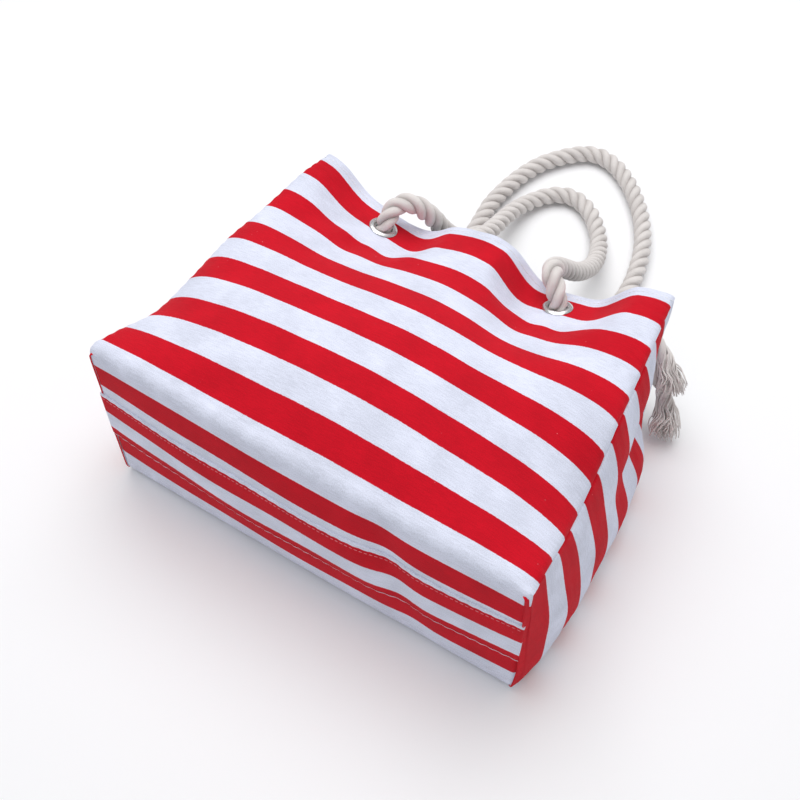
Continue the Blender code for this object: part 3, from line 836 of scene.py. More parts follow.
@dataclass(frozen=True)
class Finish:
    """What every finish shares: a name and how rough it is."""

    name: str
    roughness: float = 0.85

    def start(self) -> tuple[bpy.types.Material, Wiring, bpy.types.Node]:
        """Start a material and return it with its wiring and its shader."""
        material = bpy.data.materials.new(self.name)
        material.use_nodes = True
        shader = material.node_tree.nodes["Principled BSDF"]
        shader.inputs["Roughness"].default_value = self.roughness
        return material, Wiring(material.node_tree), shader

    def bump(self, w: Wiring, shader: bpy.types.Node, height: bpy.types.NodeSocket, depth: float,
             strength: float = 1.0) -> None:
        """Feed a height into the shader's normal."""
        made = w.node("ShaderNodeBump")
        made.inputs["Strength"].default_value = strength
        made.inputs["Distance"].default_value = depth
        w.join(height, made.inputs["Height"])
        w.join(made.outputs[0], shader.inputs["Normal"])


    def fibred(self, w: Wiring, fibres: bpy.types.NodeTree, fineness: float) -> bpy.types.Node:
        """Add the fibre group on Object coordinates."""
        group = w.node("ShaderNodeGroup", node_tree=fibres)
        w.join(w.node("ShaderNodeTexCoord").outputs["Object"], group.inputs["Place"])
        group.inputs["Fineness"].default_value = fineness
        return group

    def toned(self, w: Wiring, shader: bpy.types.Node, colour: object, tone: bpy.types.NodeSocket) -> None:
        """Feed a colour, darkened or lightened by a tone, into the shader."""
        shade = w.node("ShaderNodeCombineColor")
        for socket in shade.inputs[:3]:
            w.join(tone, socket)
        w.join(w.blend(1.0, colour, shade.outputs[0], "MULTIPLY"), shader.inputs["Base Color"])


@dataclass(frozen=True)
class StripedCanvas(Finish):
    """Heavy canvas with even printed stripes along the bag."""

    red: tuple = (0.60, 0.0035, 0.016, 1.0)
    white: tuple = (0.74, 0.77, 0.90, 1.0)
    lint: tuple = (0.80, 0.30, 0.34, 1.0)

    def make(self, weave: bpy.types.NodeTree) -> bpy.types.Material:
        """Build the material from the weave group."""
        material, w, shader = self.start()
        shader.inputs["Sheen Weight"].default_value = 0.03
        shader.inputs["Sheen Roughness"].default_value = 0.6
        shader.inputs["Specular IOR Level"].default_value = 0.12
        cloth = w.node("ShaderNodeUVMap", uv_map="cloth").outputs[0]
        group = w.node("ShaderNodeGroup", node_tree=weave)
        w.join(cloth, group.inputs["Cloth"])
        group.inputs["Pitch"].default_value = 0.0012
        parts = w.node("ShaderNodeSeparateXYZ")
        w.join(cloth, parts.inputs[0])
        wobble = w.math("MULTIPLY", w.math("SUBTRACT", w.noise(cloth, 420.0, 2.0), 0.5), 0.0009)
        up = w.math("ADD", w.math("SUBTRACT", parts.outputs[1], STRIPE), wobble)
        wrapped = w.node("ShaderNodeMath", operation="WRAP")
        w.feed(wrapped.inputs[0], up)
        wrapped.inputs[1].default_value = STRIPE
        wrapped.inputs[2].default_value = -STRIPE
        away = w.math("ABSOLUTE", wrapped.outputs[0])
        inked = w.spread(away, STRIPE / 2 - 0.00035, STRIPE / 2 + 0.00035, 1.0, 0.0)
        red = w.blend(group.outputs["Lint"], self.red, self.lint)
        base = w.blend(inked, self.white, red)
        tone = w.spread(group.outputs["Shade"], 0.34, 0.66, 0.82, 1.12)
        self.toned(w, shader, base, tone)
        self.bump(w, shader, group.outputs["Height"], 0.00016)
        return material


@dataclass(frozen=True)
class PlainCotton(Finish):
    """Unprinted cotton for the hem facings and the lining."""

    colour: tuple = (0.72, 0.74, 0.80, 1.0)
    pitch: float = 0.0012
    depth: float = 0.00014

    def make(self, weave: bpy.types.NodeTree) -> bpy.types.Material:
        """Build the material from the weave group."""
        material, w, shader = self.start()
        shader.inputs["Sheen Weight"].default_value = 0.1
        cloth = w.node("ShaderNodeUVMap", uv_map="cloth").outputs[0]
        group = w.node("ShaderNodeGroup", node_tree=weave)
        w.join(cloth, group.inputs["Cloth"])
        group.inputs["Pitch"].default_value = self.pitch
        tone = w.spread(group.outputs["Shade"], 0.3, 0.7, 0.88, 1.05)
        self.toned(w, shader, self.colour, tone)
        self.bump(w, shader, group.outputs["Height"], self.depth)
        return material


@dataclass(frozen=True)
class CottonRope(Finish):
    """Soft twisted cotton, with painted shade between its strands and yarns."""

    crest: tuple = (0.80, 0.755, 0.73, 1.0)
    # Colour of the painted shade between strands and yarns.
    shaded_valley: tuple = (0.30, 0.265, 0.25, 1.0)

    def make(self, fibres: bpy.types.NodeTree) -> bpy.types.Material:
        """Build the material from the fibre group."""
        material, w, shader = self.start()
        shader.inputs["Sheen Weight"].default_value = 0.25
        shader.inputs["Sheen Roughness"].default_value = 0.5
        group = self.fibred(w, fibres, 1100.0)
        # Painted shade: the rope mesh's point attribute pulls the colour towards the valley colour; random
        # fibre tone is mixed in.
        groove_shade = w.node("ShaderNodeAttribute", attribute_name="groove_shade").outputs["Fac"]
        shade_and_tone = w.math("MULTIPLY", w.math("POWER", groove_shade, 1.6), 0.8)
        shade_and_tone = w.math("ADD", shade_and_tone, w.spread(group.outputs["Tone"], 0.35, 0.65, 0.12, -0.04), clamp=True)
        w.join(w.blend(shade_and_tone, self.crest, self.shaded_valley), shader.inputs["Base Color"])
        self.bump(w, shader, group.outputs["Height"], 0.0007, 0.8)
        return material


@dataclass(frozen=True)
class PlatedSteel(Finish):
    """Bright plated steel with fine handling marks."""

    roughness: float = 0.24
    bright: tuple = (0.86, 0.86, 0.85, 1.0)
    dull: tuple = (0.60, 0.60, 0.60, 1.0)

    def make(self, fibres: bpy.types.NodeTree) -> bpy.types.Material:
        """Build the material, using the fibre group as fine marks."""
        material, w, shader = self.start()
        shader.inputs["Metallic"].default_value = 1.0
        group = self.fibred(w, fibres, 500.0)
        w.join(w.blend(group.outputs["Tone"], self.bright, self.dull), shader.inputs["Base Color"])
        w.join(w.spread(group.outputs["Tone"], 0.3, 0.7, 0.16, 0.38), shader.inputs["Roughness"])
        self.bump(w, shader, group.outputs["Height"], 0.00004, 0.5)
        return material


@dataclass(frozen=True)
class SewingThread(Finish):
    """Matte polyester thread."""

    colour: tuple = (0.66, 0.17, 0.20, 1.0)

    def make(self, fibres: bpy.types.NodeTree) -> bpy.types.Material:
        """Build the material from the fibre group."""
        material, w, shader = self.start()
        group = self.fibred(w, fibres, 1500.0)
        pale = tuple(min(1.0, c * 1.25 + 0.02) for c in self.colour[:3]) + (1.0,)
        w.join(w.blend(group.outputs["Tone"], self.colour, pale), shader.inputs["Base Color"])
        self.bump(w, shader, group.outputs["Height"], 0.0002, 0.6)
        return material


@dataclass(frozen=True)
class GreyBoard(Finish):
    """Plain stiff sheet for the base insert."""

    colour: tuple = (0.33, 0.31, 0.28, 1.0)

    def make(self, fibres: bpy.types.NodeTree) -> bpy.types.Material:
        """Build the material from the fibre group."""
        material, w, shader = self.start()
        group = self.fibred(w, fibres, 700.0)
        pale = tuple(c * 1.3 for c in self.colour[:3]) + (1.0,)
        w.join(w.blend(group.outputs["Tone"], self.colour, pale), shader.inputs["Base Color"])
        self.bump(w, shader, group.outputs["Height"], 0.0001, 0.5)
        return material


@dataclass(frozen=True)
class StitchRun:
    """A row of stitches laid along a line by Geometry Nodes."""

    length: float = 0.0034
    pitch: float = 0.0046
    thickness: float = 0.00085

    def tree(self) -> bpy.types.NodeTree:
        """Build the node tree, with an input for each size and the thread."""
        tree = bpy.data.node_groups.new("stitch_run", "GeometryNodeTree")
        tree.interface.new_socket("Geometry", in_out="INPUT", socket_type="NodeSocketGeometry")
        for label, value in (("Pitch", self.pitch), ("Length", self.length), ("Thickness", self.thickness)):
            socket = tree.interface.new_socket(label, in_out="INPUT", socket_type="NodeSocketFloat")
            socket.default_value = value
        tree.interface.new_socket("Thread", in_out="INPUT", socket_type="NodeSocketMaterial")
        tree.interface.new_socket("Geometry", in_out="OUTPUT", socket_type="NodeSocketGeometry")
        w = Wiring(tree)
        start, end = w.node("NodeGroupInput"), w.node("NodeGroupOutput")
        line = w.node("GeometryNodeMeshToCurve")
        w.join(start.outputs["Geometry"], line.inputs[0])
        places = w.node("GeometryNodeCurveToPoints", mode="LENGTH")
        w.join(line.outputs[0], places.inputs[0])
        w.join(start.outputs["Pitch"], places.inputs["Length"])
        bead = w.node("GeometryNodeMeshUVSphere")
        bead.inputs["Segments"].default_value = 8
        bead.inputs["Rings"].default_value = 6
        bead.inputs["Radius"].default_value = 0.5
        size = w.node("ShaderNodeCombineXYZ")
        w.join(start.outputs["Thickness"], size.inputs[0])
        w.join(start.outputs["Thickness"], size.inputs[1])
        w.join(start.outputs["Length"], size.inputs[2])
        shaped = w.node("GeometryNodeTransform")
        w.join(bead.outputs[0], shaped.inputs["Geometry"])
        w.join(size.outputs[0], shaped.inputs["Scale"])
        laid = w.node("GeometryNodeInstanceOnPoints")
        w.join(places.outputs["Points"], laid.inputs["Points"])
        w.join(shaped.outputs[0], laid.inputs["Instance"])
        w.join(places.outputs["Rotation"], laid.inputs["Rotation"])
        solid = w.node("GeometryNodeRealizeInstances")
        w.join(laid.outputs[0], solid.inputs[0])
        dyed = w.node("GeometryNodeSetMaterial")
        w.join(solid.outputs[0], dyed.inputs["Geometry"])
        w.join(start.outputs["Thread"], dyed.inputs["Material"])
        w.join(dyed.outputs[0], end.inputs[0])
        return tree

    def sew(self, name: str, lines: Sequence[Array], tree: bpy.types.NodeTree,
            thread: bpy.types.Material) -> bpy.types.Object:
        """Sew along lines on the cloth.

        Args:
            name: Piece name.
            lines: Places along each line, in bag coordinates.
            tree: The node tree from tree().
            thread: The thread's finish.

        Returns:
            All the stitches as one plain mesh.
        """
        mesh = bpy.data.meshes.new(name)
        points, edges = [], []
        for line in lines:
            base = len(points)
            points += in_row(line).tolist()
            edges += [(base + i, base + i + 1) for i in range(len(line) - 1)]
        mesh.from_pydata(points, edges, [])
        piece = bpy.data.objects.new(name, mesh)
        bpy.context.scene.collection.objects.link(piece)
        run = piece.modifiers.new("stitches", "NODES")
        run.node_group = tree
        settings = {"Thread": thread, "Pitch": self.pitch, "Length": self.length,
                    "Thickness": self.thickness}
        for item in tree.interface.items_tree:
            if item.in_out == "INPUT" and item.name in settings:
                run[item.identifier] = settings[item.name]
        settled(piece)
        piece.data.shade_smooth()
        return piece


@dataclass
class Cloths:
    """All the bag's finishes, built once."""

    canvas: bpy.types.Material
    facing: bpy.types.Material
    lining: bpy.types.Material
    rope: bpy.types.Material
    steel: bpy.types.Material
    red_thread: bpy.types.Material
    white_thread: bpy.types.Material
    board: bpy.types.Material

    @classmethod
    def make(cls) -> "Cloths":
        """Build every finish."""
        weave, fibres = make_weave(), make_fibres()
        return cls(
            canvas=StripedCanvas("striped_canvas").make(weave),
            facing=PlainCotton("hem_canvas").make(weave),
            lining=PlainCotton("lining_cotton", 0.9, (0.66, 0.65, 0.61, 1.0), 0.0008, 0.00010).make(weave),
            rope=CottonRope("cotton_rope", 0.9).make(fibres),
            steel=PlatedSteel("plated_steel").make(fibres),
            red_thread=SewingThread("red_thread", 0.6).make(fibres),
            white_thread=SewingThread("white_thread", 0.6, (0.74, 0.75, 0.78, 1.0)).make(fibres),
            board=GreyBoard("grey_board", 0.8).make(fibres))


@dataclass
class BagBody:
    """The sewn body: striped canvas outside, hem facings, lining and base board."""

    shape: BodyShape
    cloths: Cloths
    columns: int = 170
    rows: int = 130
    stitches: StitchRun = field(default_factory=StitchRun)
    seam_width: float = 0.0045
    seam_depth: float = 0.0024
    toe: float = 0.0060
    # (height on the base, place in the stripe pattern) across the middle strip
    strip_pattern: tuple = ((0.064, 0.102), (0.0668, 0.099), (0.0672, 0.0788), (0.076, 0.070),
                            (0.100, 0.042), (0.124, 0.014), (0.127, 0.011))

    def rim_curl(self, place: Callable[[Array, Array, float], Array], a: Array, s: Array,
                 thickness: float) -> tuple[Array, Array]:
        """Lay cloth up to the rim and roll it over onto the inside.

        Args:
            place: Function of (a, s, depth) that gives a place in the cloth.
            a: Stations across.
            s: Stations up, ending one rim radius below the rim.
            thickness: Cloth thickness.

        Returns:
            Outer and inner grids.
        """
        grid_a, grid_s = np.meshgrid(a, s)
        outer = place(grid_a, grid_s, 0.0)
        inner = place(grid_a, grid_s, thickness)
        edge = outer[-1]
        out = unit(edge - inner[-1])
        up = unit(outer[-1] - outer[-2])
        middle = edge - out * RIM_RADIUS
        rolled, lined = [], []
        for angle in np.linspace(0, math.pi, 10)[1:]:
            way = out * math.cos(angle) + up * math.sin(angle)
            rolled.append(middle + way * RIM_RADIUS)
            lined.append(middle + way * (RIM_RADIUS - thickness))
        drop = -up * 0.0012
        rolled.append(rolled[-1] + drop)
        lined.append(lined[-1] + drop)
        return np.concatenate([outer, rolled]), np.concatenate([inner, lined])

    def panel(self, which: Panel) -> bpy.types.Object:
        """Make a panel that wraps from the base up to its rolled rim."""
        low = -(BAG_DEPTH - STRIP_HIGH + 0.008) if which is Panel.FRONT else -(STRIP_LOW + 0.008)
        low += FOLD_RADIUS - QUARTER
        a = np.linspace(-1, 1, self.columns)
        s = np.concatenate([np.linspace(low, -QUARTER, 22)[:-1], np.linspace(-QUARTER, QUARTER, 9)[:-1],
                            np.linspace(QUARTER, BAG_HEIGHT - RIM_RADIUS, self.rows)])

        def place(u: Array, t: Array, depth: float) -> Array:
            """Place in the panel's cloth, curled in at the side seams."""
            half = self.shape.half_length(t, which)
            near = np.clip(1 - (1 - np.abs(u)) * half / self.seam_width, 0, 1)
            return self.shape.panel_inside(which, u, t, depth + self.seam_depth * near**2)

        outer, inner = self.rim_curl(place, a, s, CANVAS)
        name = "front_canvas" if which is Panel.FRONT else "back_canvas"
        up = np.concatenate([s, s[-1] + np.linspace(0, math.pi, 10)[1:] * RIM_RADIUS, [s[-1] + 0.008]])
        if which is Panel.FRONT:
            up = up + 0.0048 * (1 - smooth(-0.012, 0.004, up))
        else:
            up = up + 0.0189 * (1 - smooth(-0.030, 0.010, up))
        uv = np.stack(np.broadcast_arrays(a[None, :] * BASE_LENGTH / 2, up[:, None]), -1)
        piece = cloth_piece(name, outer, inner, uv, self.cloths.canvas, self.cloths.facing)
        for side in Side:
            piece = punch(piece, *self.shape.grommet(which, side), EYELET_BARREL + GAP)
        on_bag(piece, "front_panel" if which is Panel.FRONT else "back_panel")
        return piece

    def gusset(self, side: Side) -> bpy.types.Object:
        """Make a gusset, creased inwards at the mouth."""
        a = (1 - np.cos(np.linspace(0.0, math.pi, 100))) / 2
        s = np.concatenate([np.linspace(-self.toe, 0.0, 4)[:-1],
                            np.linspace(0.0, BAG_HEIGHT - RIM_RADIUS, self.rows)])

        def place(v: Array, t: Array, depth: float) -> Array:
            """Place in the gusset's cloth, curled in at its seams."""
            near = np.clip(1 - np.minimum(v, 1 - v) * BAG_DEPTH / self.seam_width, 0, 1)
            return self.shape.gusset_inside(side, v, t, depth + self.seam_depth * near**2)

        outer, inner = self.rim_curl(place, a, s, CANVAS)
        up = np.concatenate([s, s[-1] + np.linspace(0, math.pi, 10)[1:] * RIM_RADIUS, [s[-1] + 0.008]])
        up = np.clip(up, 0.0, BAG_HEIGHT - 0.0020) + STRIPE / 2 + 0.0008
        uv = np.stack(np.broadcast_arrays(a[None, :] * BAG_DEPTH, up[:, None]), -1)
        word = side.name.lower()
        piece = cloth_piece(f"gusset_canvas_{word}", outer, inner, uv, self.cloths.canvas,
                            self.cloths.facing)
        on_bag(piece, f"gusset_{word}")
        return piece

    def base(self) -> bpy.types.Object:
        """Make the strip across the middle of the base."""
        x = np.linspace(-BASE_LENGTH / 2, BASE_LENGTH / 2, self.columns)
        z = np.linspace(STRIP_LOW, STRIP_HIGH, 44)
        grid_x, grid_z = np.meshgrid(x, z)
        near = np.minimum(grid_z - STRIP_LOW, STRIP_HIGH - grid_z)
        pucker = 0.00035 * np.exp(-near / 0.007) * np.cos(2 * math.pi * grid_x / 0.011 + np.sin(31 * grid_x))
        roll = 0.0011 * np.clip(1 - near / 0.0025, 0, 1) ** 2
        y = -self.shape.belly(grid_x, grid_z, np.zeros_like(grid_x)) - pucker + roll * 0.5
        outer = np.stack([grid_x, y, grid_z], -1)
        inner = outer + np.array([0, CANVAS, 0])
        up = np.interp(z, [k[0] for k in self.strip_pattern], [k[1] for k in self.strip_pattern])
        uv = np.stack(np.broadcast_arrays(x[None, :], up[:, None]), -1)
        piece = cloth_piece("base_canvas", outer, inner, uv, self.cloths.canvas)
        on_bag(piece, "base_strip")
        return piece

    def inner_sheet(self, name: str, node: str, place: Callable[[Array, Array, float], Array], a: Array,
                    s: Array, depth: float, thickness: float, wide: float,
                    material: bpy.types.Material,
                    holed: Panel | None = None) -> bpy.types.Object:
        """Make a sheet inside another.

        Args:
            name: Piece name.
            node: CAD node it stands for.
            place: Function of (a, s, depth).
            a: Stations across.
            s: Stations up.
            depth: Depth of its outer face.
            thickness: Its thickness.
            wide: Cloth width that a spans, for the weave.
            material: Its finish.
            holed: Panel whose grommets pass through it, if any do.

        Returns:
            The sheet.
        """
        grid_a, grid_s = np.meshgrid(a, s)
        outer, inner = place(grid_a, grid_s, depth), place(grid_a, grid_s, depth + thickness)
        span = (a - a[0]) / (a[-1] - a[0]) * wide
        uv = np.stack(np.broadcast_arrays(span[None, :], s[:, None]), -1)
        piece = cloth_piece(name, outer, inner, uv, material)
        if holed:
            for side in Side:
                punch(piece, *self.shape.grommet(holed, side), EYELET_BARREL + GAP)
        on_bag(piece, node)
        return piece

    def inside(self) -> list[bpy.types.Object]:
        """Make the hem facings and the lining."""
        made = []
        low, high = BAG_HEIGHT - HEM, BAG_HEIGHT - RIM_RADIUS - 0.0016
        inset = CANVAS + LAYER_GAP
        for which, word in ((Panel.FRONT, "front"), (Panel.BACK, "back")):
            def place(u: Array, t: Array, depth: float, which: Panel = which) -> Array:
                """Place in the panel at a depth."""
                return self.shape.panel_inside(which, u, t, depth)
            a = np.linspace(-0.985, 0.985, 110)
            facing = self.inner_sheet(f"hem_facing_{word}", f"facing_{word}", place, a,
                                      np.linspace(low, high, 24), inset, CANVAS, 0.385,
                                      self.cloths.facing, which)
            made.append(facing)
            made.append(self.inner_sheet(f"lining_cotton_{word}", f"lining_{word}", place, a,
                                         np.linspace(0.018, low - 0.0015, 70), inset, LINING, 0.42,
                                         self.cloths.lining))
        for side in Side:
            word = side.name.lower()

            def laid(v: Array, t: Array, depth: float, side: Side = side) -> Array:
                """Place in the gusset at a depth."""
                return self.shape.gusset_inside(side, v, t, depth)
            a = np.linspace(0.025, 0.975, 70)
            made.append(self.inner_sheet(f"hem_facing_{word}", f"facing_{word}", laid, a,
                                         np.linspace(low + 0.003, high, 20), inset, CANVAS, 0.21,
                                         self.cloths.facing))
            made.append(self.inner_sheet(f"lining_cotton_{word}", f"lining_{word}", laid, a,
                                         np.linspace(0.022, low + 0.0015, 60), inset, LINING, 0.19,
                                         self.cloths.lining))
        made.append(self.floor_lining())
        return made

    def floor_lining(self) -> bpy.types.Object:
        """Make the lining over the base board, with soft waves."""
        low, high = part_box("lining_base")
        x, z = np.linspace(low.x, high.x, 90), np.linspace(low.z, high.z, 40)
        grid_x, grid_z = np.meshgrid(x, z)
        wave = 0.0008 * (1 + np.sin(41 * grid_x + 13 * grid_z) * np.sin(57 * grid_z + 1.0))
        y = low.y + BODY_MIDDLE_Y + wave
        outer = np.stack([grid_x, y + LINING, grid_z], -1)
        inner = np.stack([grid_x, y, grid_z], -1)
        uv = np.stack([grid_x, grid_z], -1)
        piece = cloth_piece("lining_cotton_base", outer, inner, uv, self.cloths.lining)
        on_bag(piece, "lining_base")
        return piece

    def seams(self) -> list[bpy.types.Object]:
        """Sew the topstitching on the base and round the hem."""
        tree = self.stitches.tree()
        x = np.linspace(-BASE_LENGTH / 2 + 0.004, BASE_LENGTH / 2 - 0.004, 160)
        red_lines, white_lines = [], []
        height = np.full_like(x, STRIP_HIGH - 0.0065)
        y = -self.shape.belly(x, height, np.zeros_like(x)) - 0.0001
        red_lines.append(np.stack([x, y, height], -1))
        u = np.linspace(-0.985, 0.985, 200)
        for which in Panel:
            arc = np.full_like(u, BAG_HEIGHT - 0.0075)
            white_lines.append(self.shape.panel_inside(which, u, arc, -0.0001))
        v = np.linspace(0.05, 0.95, 90)
        for side in Side:
            arc = np.full_like(v, BAG_HEIGHT - 0.0075)
            white_lines.append(self.shape.gusset_inside(side, v, arc, -0.0001))
        made = []
        for name, lines, thread in (("base_stitching", red_lines, self.cloths.red_thread),
                                    ("rim_stitching", white_lines, self.cloths.white_thread)):
            piece = self.stitches.sew(name, lines, tree, thread)
            on_bag(piece)
            made.append(piece)
        return made

    def build(self) -> int:
        """Build and dress the whole body and return how many pieces it has."""
        made = [self.panel(Panel.FRONT), self.panel(Panel.BACK), self.base()]
        made += [self.gusset(side) for side in Side]
        made += self.inside()
        made += self.seams()
        frame["nodes"]["base_board"].data.materials.clear()
        frame["nodes"]["base_board"].data.materials.append(self.cloths.board)
        return len(made)


@dataclass
class Grommets:
    """The four rolled steel eyelets with their backing washers."""

    shape: BodyShape
    cloths: Cloths

    def eyelet_section(self) -> list[tuple[float, float]]:
        """Section of an eyelet: a rolled lip on a barrel."""
        lip = [(EYELET_FLANGE - 0.0002, GAP), (EYELET_FLANGE, GAP + 0.0004), (0.0144, 0.0013),
               (0.0132, 0.0021), (0.0118, 0.0026), (0.0105, 0.0024), (0.0096, 0.0016), (EYELET_BORE, 0.0002)]
        foot = -(HEM_STACK + 0.0018)
        barrel = [(EYELET_BORE, foot), (EYELET_BORE + 0.0005, foot - 0.0003), (EYELET_BARREL, foot),
                  (EYELET_BARREL, GAP)]
        return lip + barrel

    def washer_section(self) -> list[tuple[float, float]]:
        """Section of a washer with eased edges."""
        top = -(HEM_STACK + GAP)
        inner, outer = EYELET_BARREL + GAP, EYELET_FLANGE
        return [(inner, top), (inner, top - 0.0008), (inner + 0.0004, top - 0.0011),
                (outer - 0.0008, top - 0.0009), (outer, top - 0.0004), (outer, top)]

    def build(self) -> int:
        """Build and dress the grommets and return how many pieces they have."""
        count = 0
        for panel, face in ((Panel.FRONT, "front"), (Panel.BACK, "rear")):
            for side in Side:
                word = side.name.lower()
                place, out = self.shape.grommet(panel, side)
                for name, node, section in (("rolled_eyelet", "eyelet", self.eyelet_section()),
                                            ("backing_washer", "washer", self.washer_section())):
                    piece = turned_piece(f"{name}_{face}_{word}", section, place, out, self.cloths.steel)
                    on_bag(piece, f"{node}_{face}_{word}")
                    count += 1
        return count


@dataclass
class Ropes:
    """Both handles, their stopper knots and the frayed ends."""

    shape: BodyShape
    cloths: Cloths
    lay: RopeLay = field(default_factory=RopeLay)
    front_route: tuple = (
        (-0.1020, 0.3220, 0.1660), (-0.0950, 0.3290, 0.1690), (-0.0870, 0.3350, 0.1660),
        (-0.0795, 0.3415, 0.1570), (-0.0732, 0.3500, 0.1420), (-0.0688, 0.3625, 0.1200),
        (-0.0655, 0.3810, 0.0960), (-0.0618, 0.4060, 0.0730), (-0.0590, 0.4360, 0.0550),
        (-0.0605, 0.4690, 0.0410), (-0.0628, 0.5010, 0.0300), (-0.0625, 0.5320, 0.0200),
        (-0.0575, 0.5580, 0.0128), (-0.0475, 0.5775, 0.0108), (-0.0335, 0.5900, 0.0108),
        (-0.0170, 0.5940, 0.0108), (0.0005, 0.5885, 0.0108), (0.0172, 0.5760, 0.0108),
        (0.0327, 0.5575, 0.0112), (0.0455, 0.5350, 0.0145), (0.0568, 0.5030, 0.0260),
        (0.0642, 0.4690, 0.0450), (0.0682, 0.4340, 0.0700), (0.0698, 0.4010, 0.0980),
        (0.0694, 0.3740, 0.1250), (0.0692, 0.3540, 0.1450), (0.0705, 0.3380, 0.1590),
        (0.0740, 0.3250, 0.1660), (0.0800, 0.3160, 0.1660))
    rear_route: tuple = (
        (-0.0995, 0.3260, 0.0115), (-0.0980, 0.3550, 0.0108), (-0.0945, 0.3950, 0.0108),
        (-0.0910, 0.4320, 0.0108), (-0.0895, 0.4640, 0.0108), (-0.0930, 0.4965, 0.0108),
        (-0.0972, 0.5290, 0.0108), (-0.0958, 0.5620, 0.0108), (-0.0905, 0.5955, 0.0108),
        (-0.0805, 0.6265, 0.0108), (-0.0675, 0.6485, 0.0108), (-0.0520, 0.6670, 0.0108),
        (-0.0365, 0.6785, 0.0108), (-0.0180, 0.6810, 0.0108), (0.0040, 0.6730, 0.0108),
        (0.0277, 0.6550, 0.0108), (0.0490, 0.6320, 0.0108), (0.0670, 0.6075, 0.0108),
        (0.0820, 0.5805, 0.0108), (0.0920, 0.5560, 0.0108), (0.0990, 0.5310, 0.0108),
        (0.1045, 0.5020, 0.0108), (0.1065, 0.4700, 0.0108), (0.1060, 0.4330, 0.0108),
        (0.1040, 0.3920, 0.0108), (0.1015, 0.3550, 0.0108), (0.0995, 0.3260, 0.0115))
    tail_routes: tuple = (
        ("front_left", ((-0.1240, 0.2600, 0.1020), (-0.1290, 0.2370, 0.0760), (-0.1310, 0.2150, 0.0460),
                        (-0.1320, 0.1880, 0.0240), (-0.1330, 0.1600, 0.0195), (-0.1330, 0.1350, 0.0195))),
        ("front_right", ((0.1150, 0.3190, 0.1060), (0.1250, 0.3380, 0.1030), (0.1420, 0.3530, 0.1030),
                         (0.1640, 0.3610, 0.1010), (0.1860, 0.3600, 0.0890), (0.2030, 0.3530, 0.0710),
                         (0.2150, 0.3400, 0.0570))),
        ("rear_left", ((-0.1250, 0.2760, 0.0430), (-0.1420, 0.2580, 0.0290), (-0.1530, 0.2380, 0.0205),
                       (-0.1600, 0.2100, 0.0195), (-0.1630, 0.1820, 0.0195))),
        ("rear_right", ((0.1230, 0.3180, 0.0620), (0.1390, 0.3360, 0.0710), (0.1570, 0.3500, 0.0750),
                        (0.1780, 0.3570, 0.0660), (0.1980, 0.3550, 0.0460), (0.2130, 0.3430, 0.0260),
                        (0.2230, 0.3200, 0.0150))))

    def handle(self, panel: Panel, route: Sequence, word: str) -> bpy.types.Object:
        """Make a handle that leaves one eyelet and enters the other.

        Args:
            panel: The panel it hangs on.
            route: Places along its loop, in bag coordinates.
            word: "front" or "rear".

        Returns:
            The rope.
        """
        ends = []
        for side in Side:
            place, out = self.shape.grommet(panel, side)
            ends.append([place - out * 0.0075, place + out * 0.0020, place + out * (SWING_STANDOFF - 0.003)])
        points = ends[0] + [np.array(p) for p in route] + ends[1][::-1]
        path = even_path(points, self.lay.step)
        run = travelled(path)
        end_run = np.minimum(run, run[-1] - run)
        radius = 0.0086 + (ROPE_RADIUS - 0.0086) * smooth(0.008, 0.028, end_run)
        piece = self.lay.mesh(f"rope_handle_{word}", path, radius, self.cloths.rope)
        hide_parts(f"handle_{word}")
        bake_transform(piece)
        tuple(in_row(ends[0][0]))
        in_row(path).tolist()
        return piece

    def knot_centre(self, place: Array, out: Array) -> Array:
        """Centre of the knot behind a grommet."""
        return place - out * (HEM_STACK + 0.0023 + KNOT_RADIUS)

    def knot_path(self, centre: Array, out: Array) -> Array:
        """Places along an overhand knot pulled tight."""
        side = unit(np.cross(out, np.array([0.0, 1.0, 0.1])))
        other = np.cross(out, side)
        t = np.linspace(0, 2 * math.pi, 61)[:-1]
        flat = 0.0041
        a = flat * (np.sin(t) + 1.85 * np.sin(2 * t))
        b = flat * (np.cos(t) - 1.85 * np.cos(2 * t))
        c = 0.0068 * np.sin(3 * t)
        return centre + a[:, None] * side + b[:, None] * other + c[:, None] * out

    def knot(self, panel: Panel, side: Side, face: str) -> bpy.types.Object:
        """Make a stopper knot behind an eyelet, with the rope's end in the eyelet."""
        word = side.name.lower()
        place, out = self.shape.grommet(panel, side)
        centre = self.knot_centre(place, out)
        path = self.knot_path(centre, out)
        lay = RopeLay(around=24, lay_length=0.034)
        piece = lay.mesh(f"stopper_knot_{face}_{word}", path, np.full(len(path), KNOT_ROPE),
                         self.cloths.rope, closed=True)
        stub = even_path([place - out * 0.004, place - out * 0.012, centre + out * 0.004], self.lay.step)
        neck = lay.mesh("neck", stub, np.full(len(stub), KNOT_ROPE), self.cloths.rope)
        bm = bmesh.new()
        bm.from_mesh(piece.data)
        bm.from_mesh(neck.data)
        bm.to_mesh(piece.data)
        bm.free()
        bpy.data.objects.remove(neck)
        on_bag(piece, f"knot_{face}_{word}")
        return piece

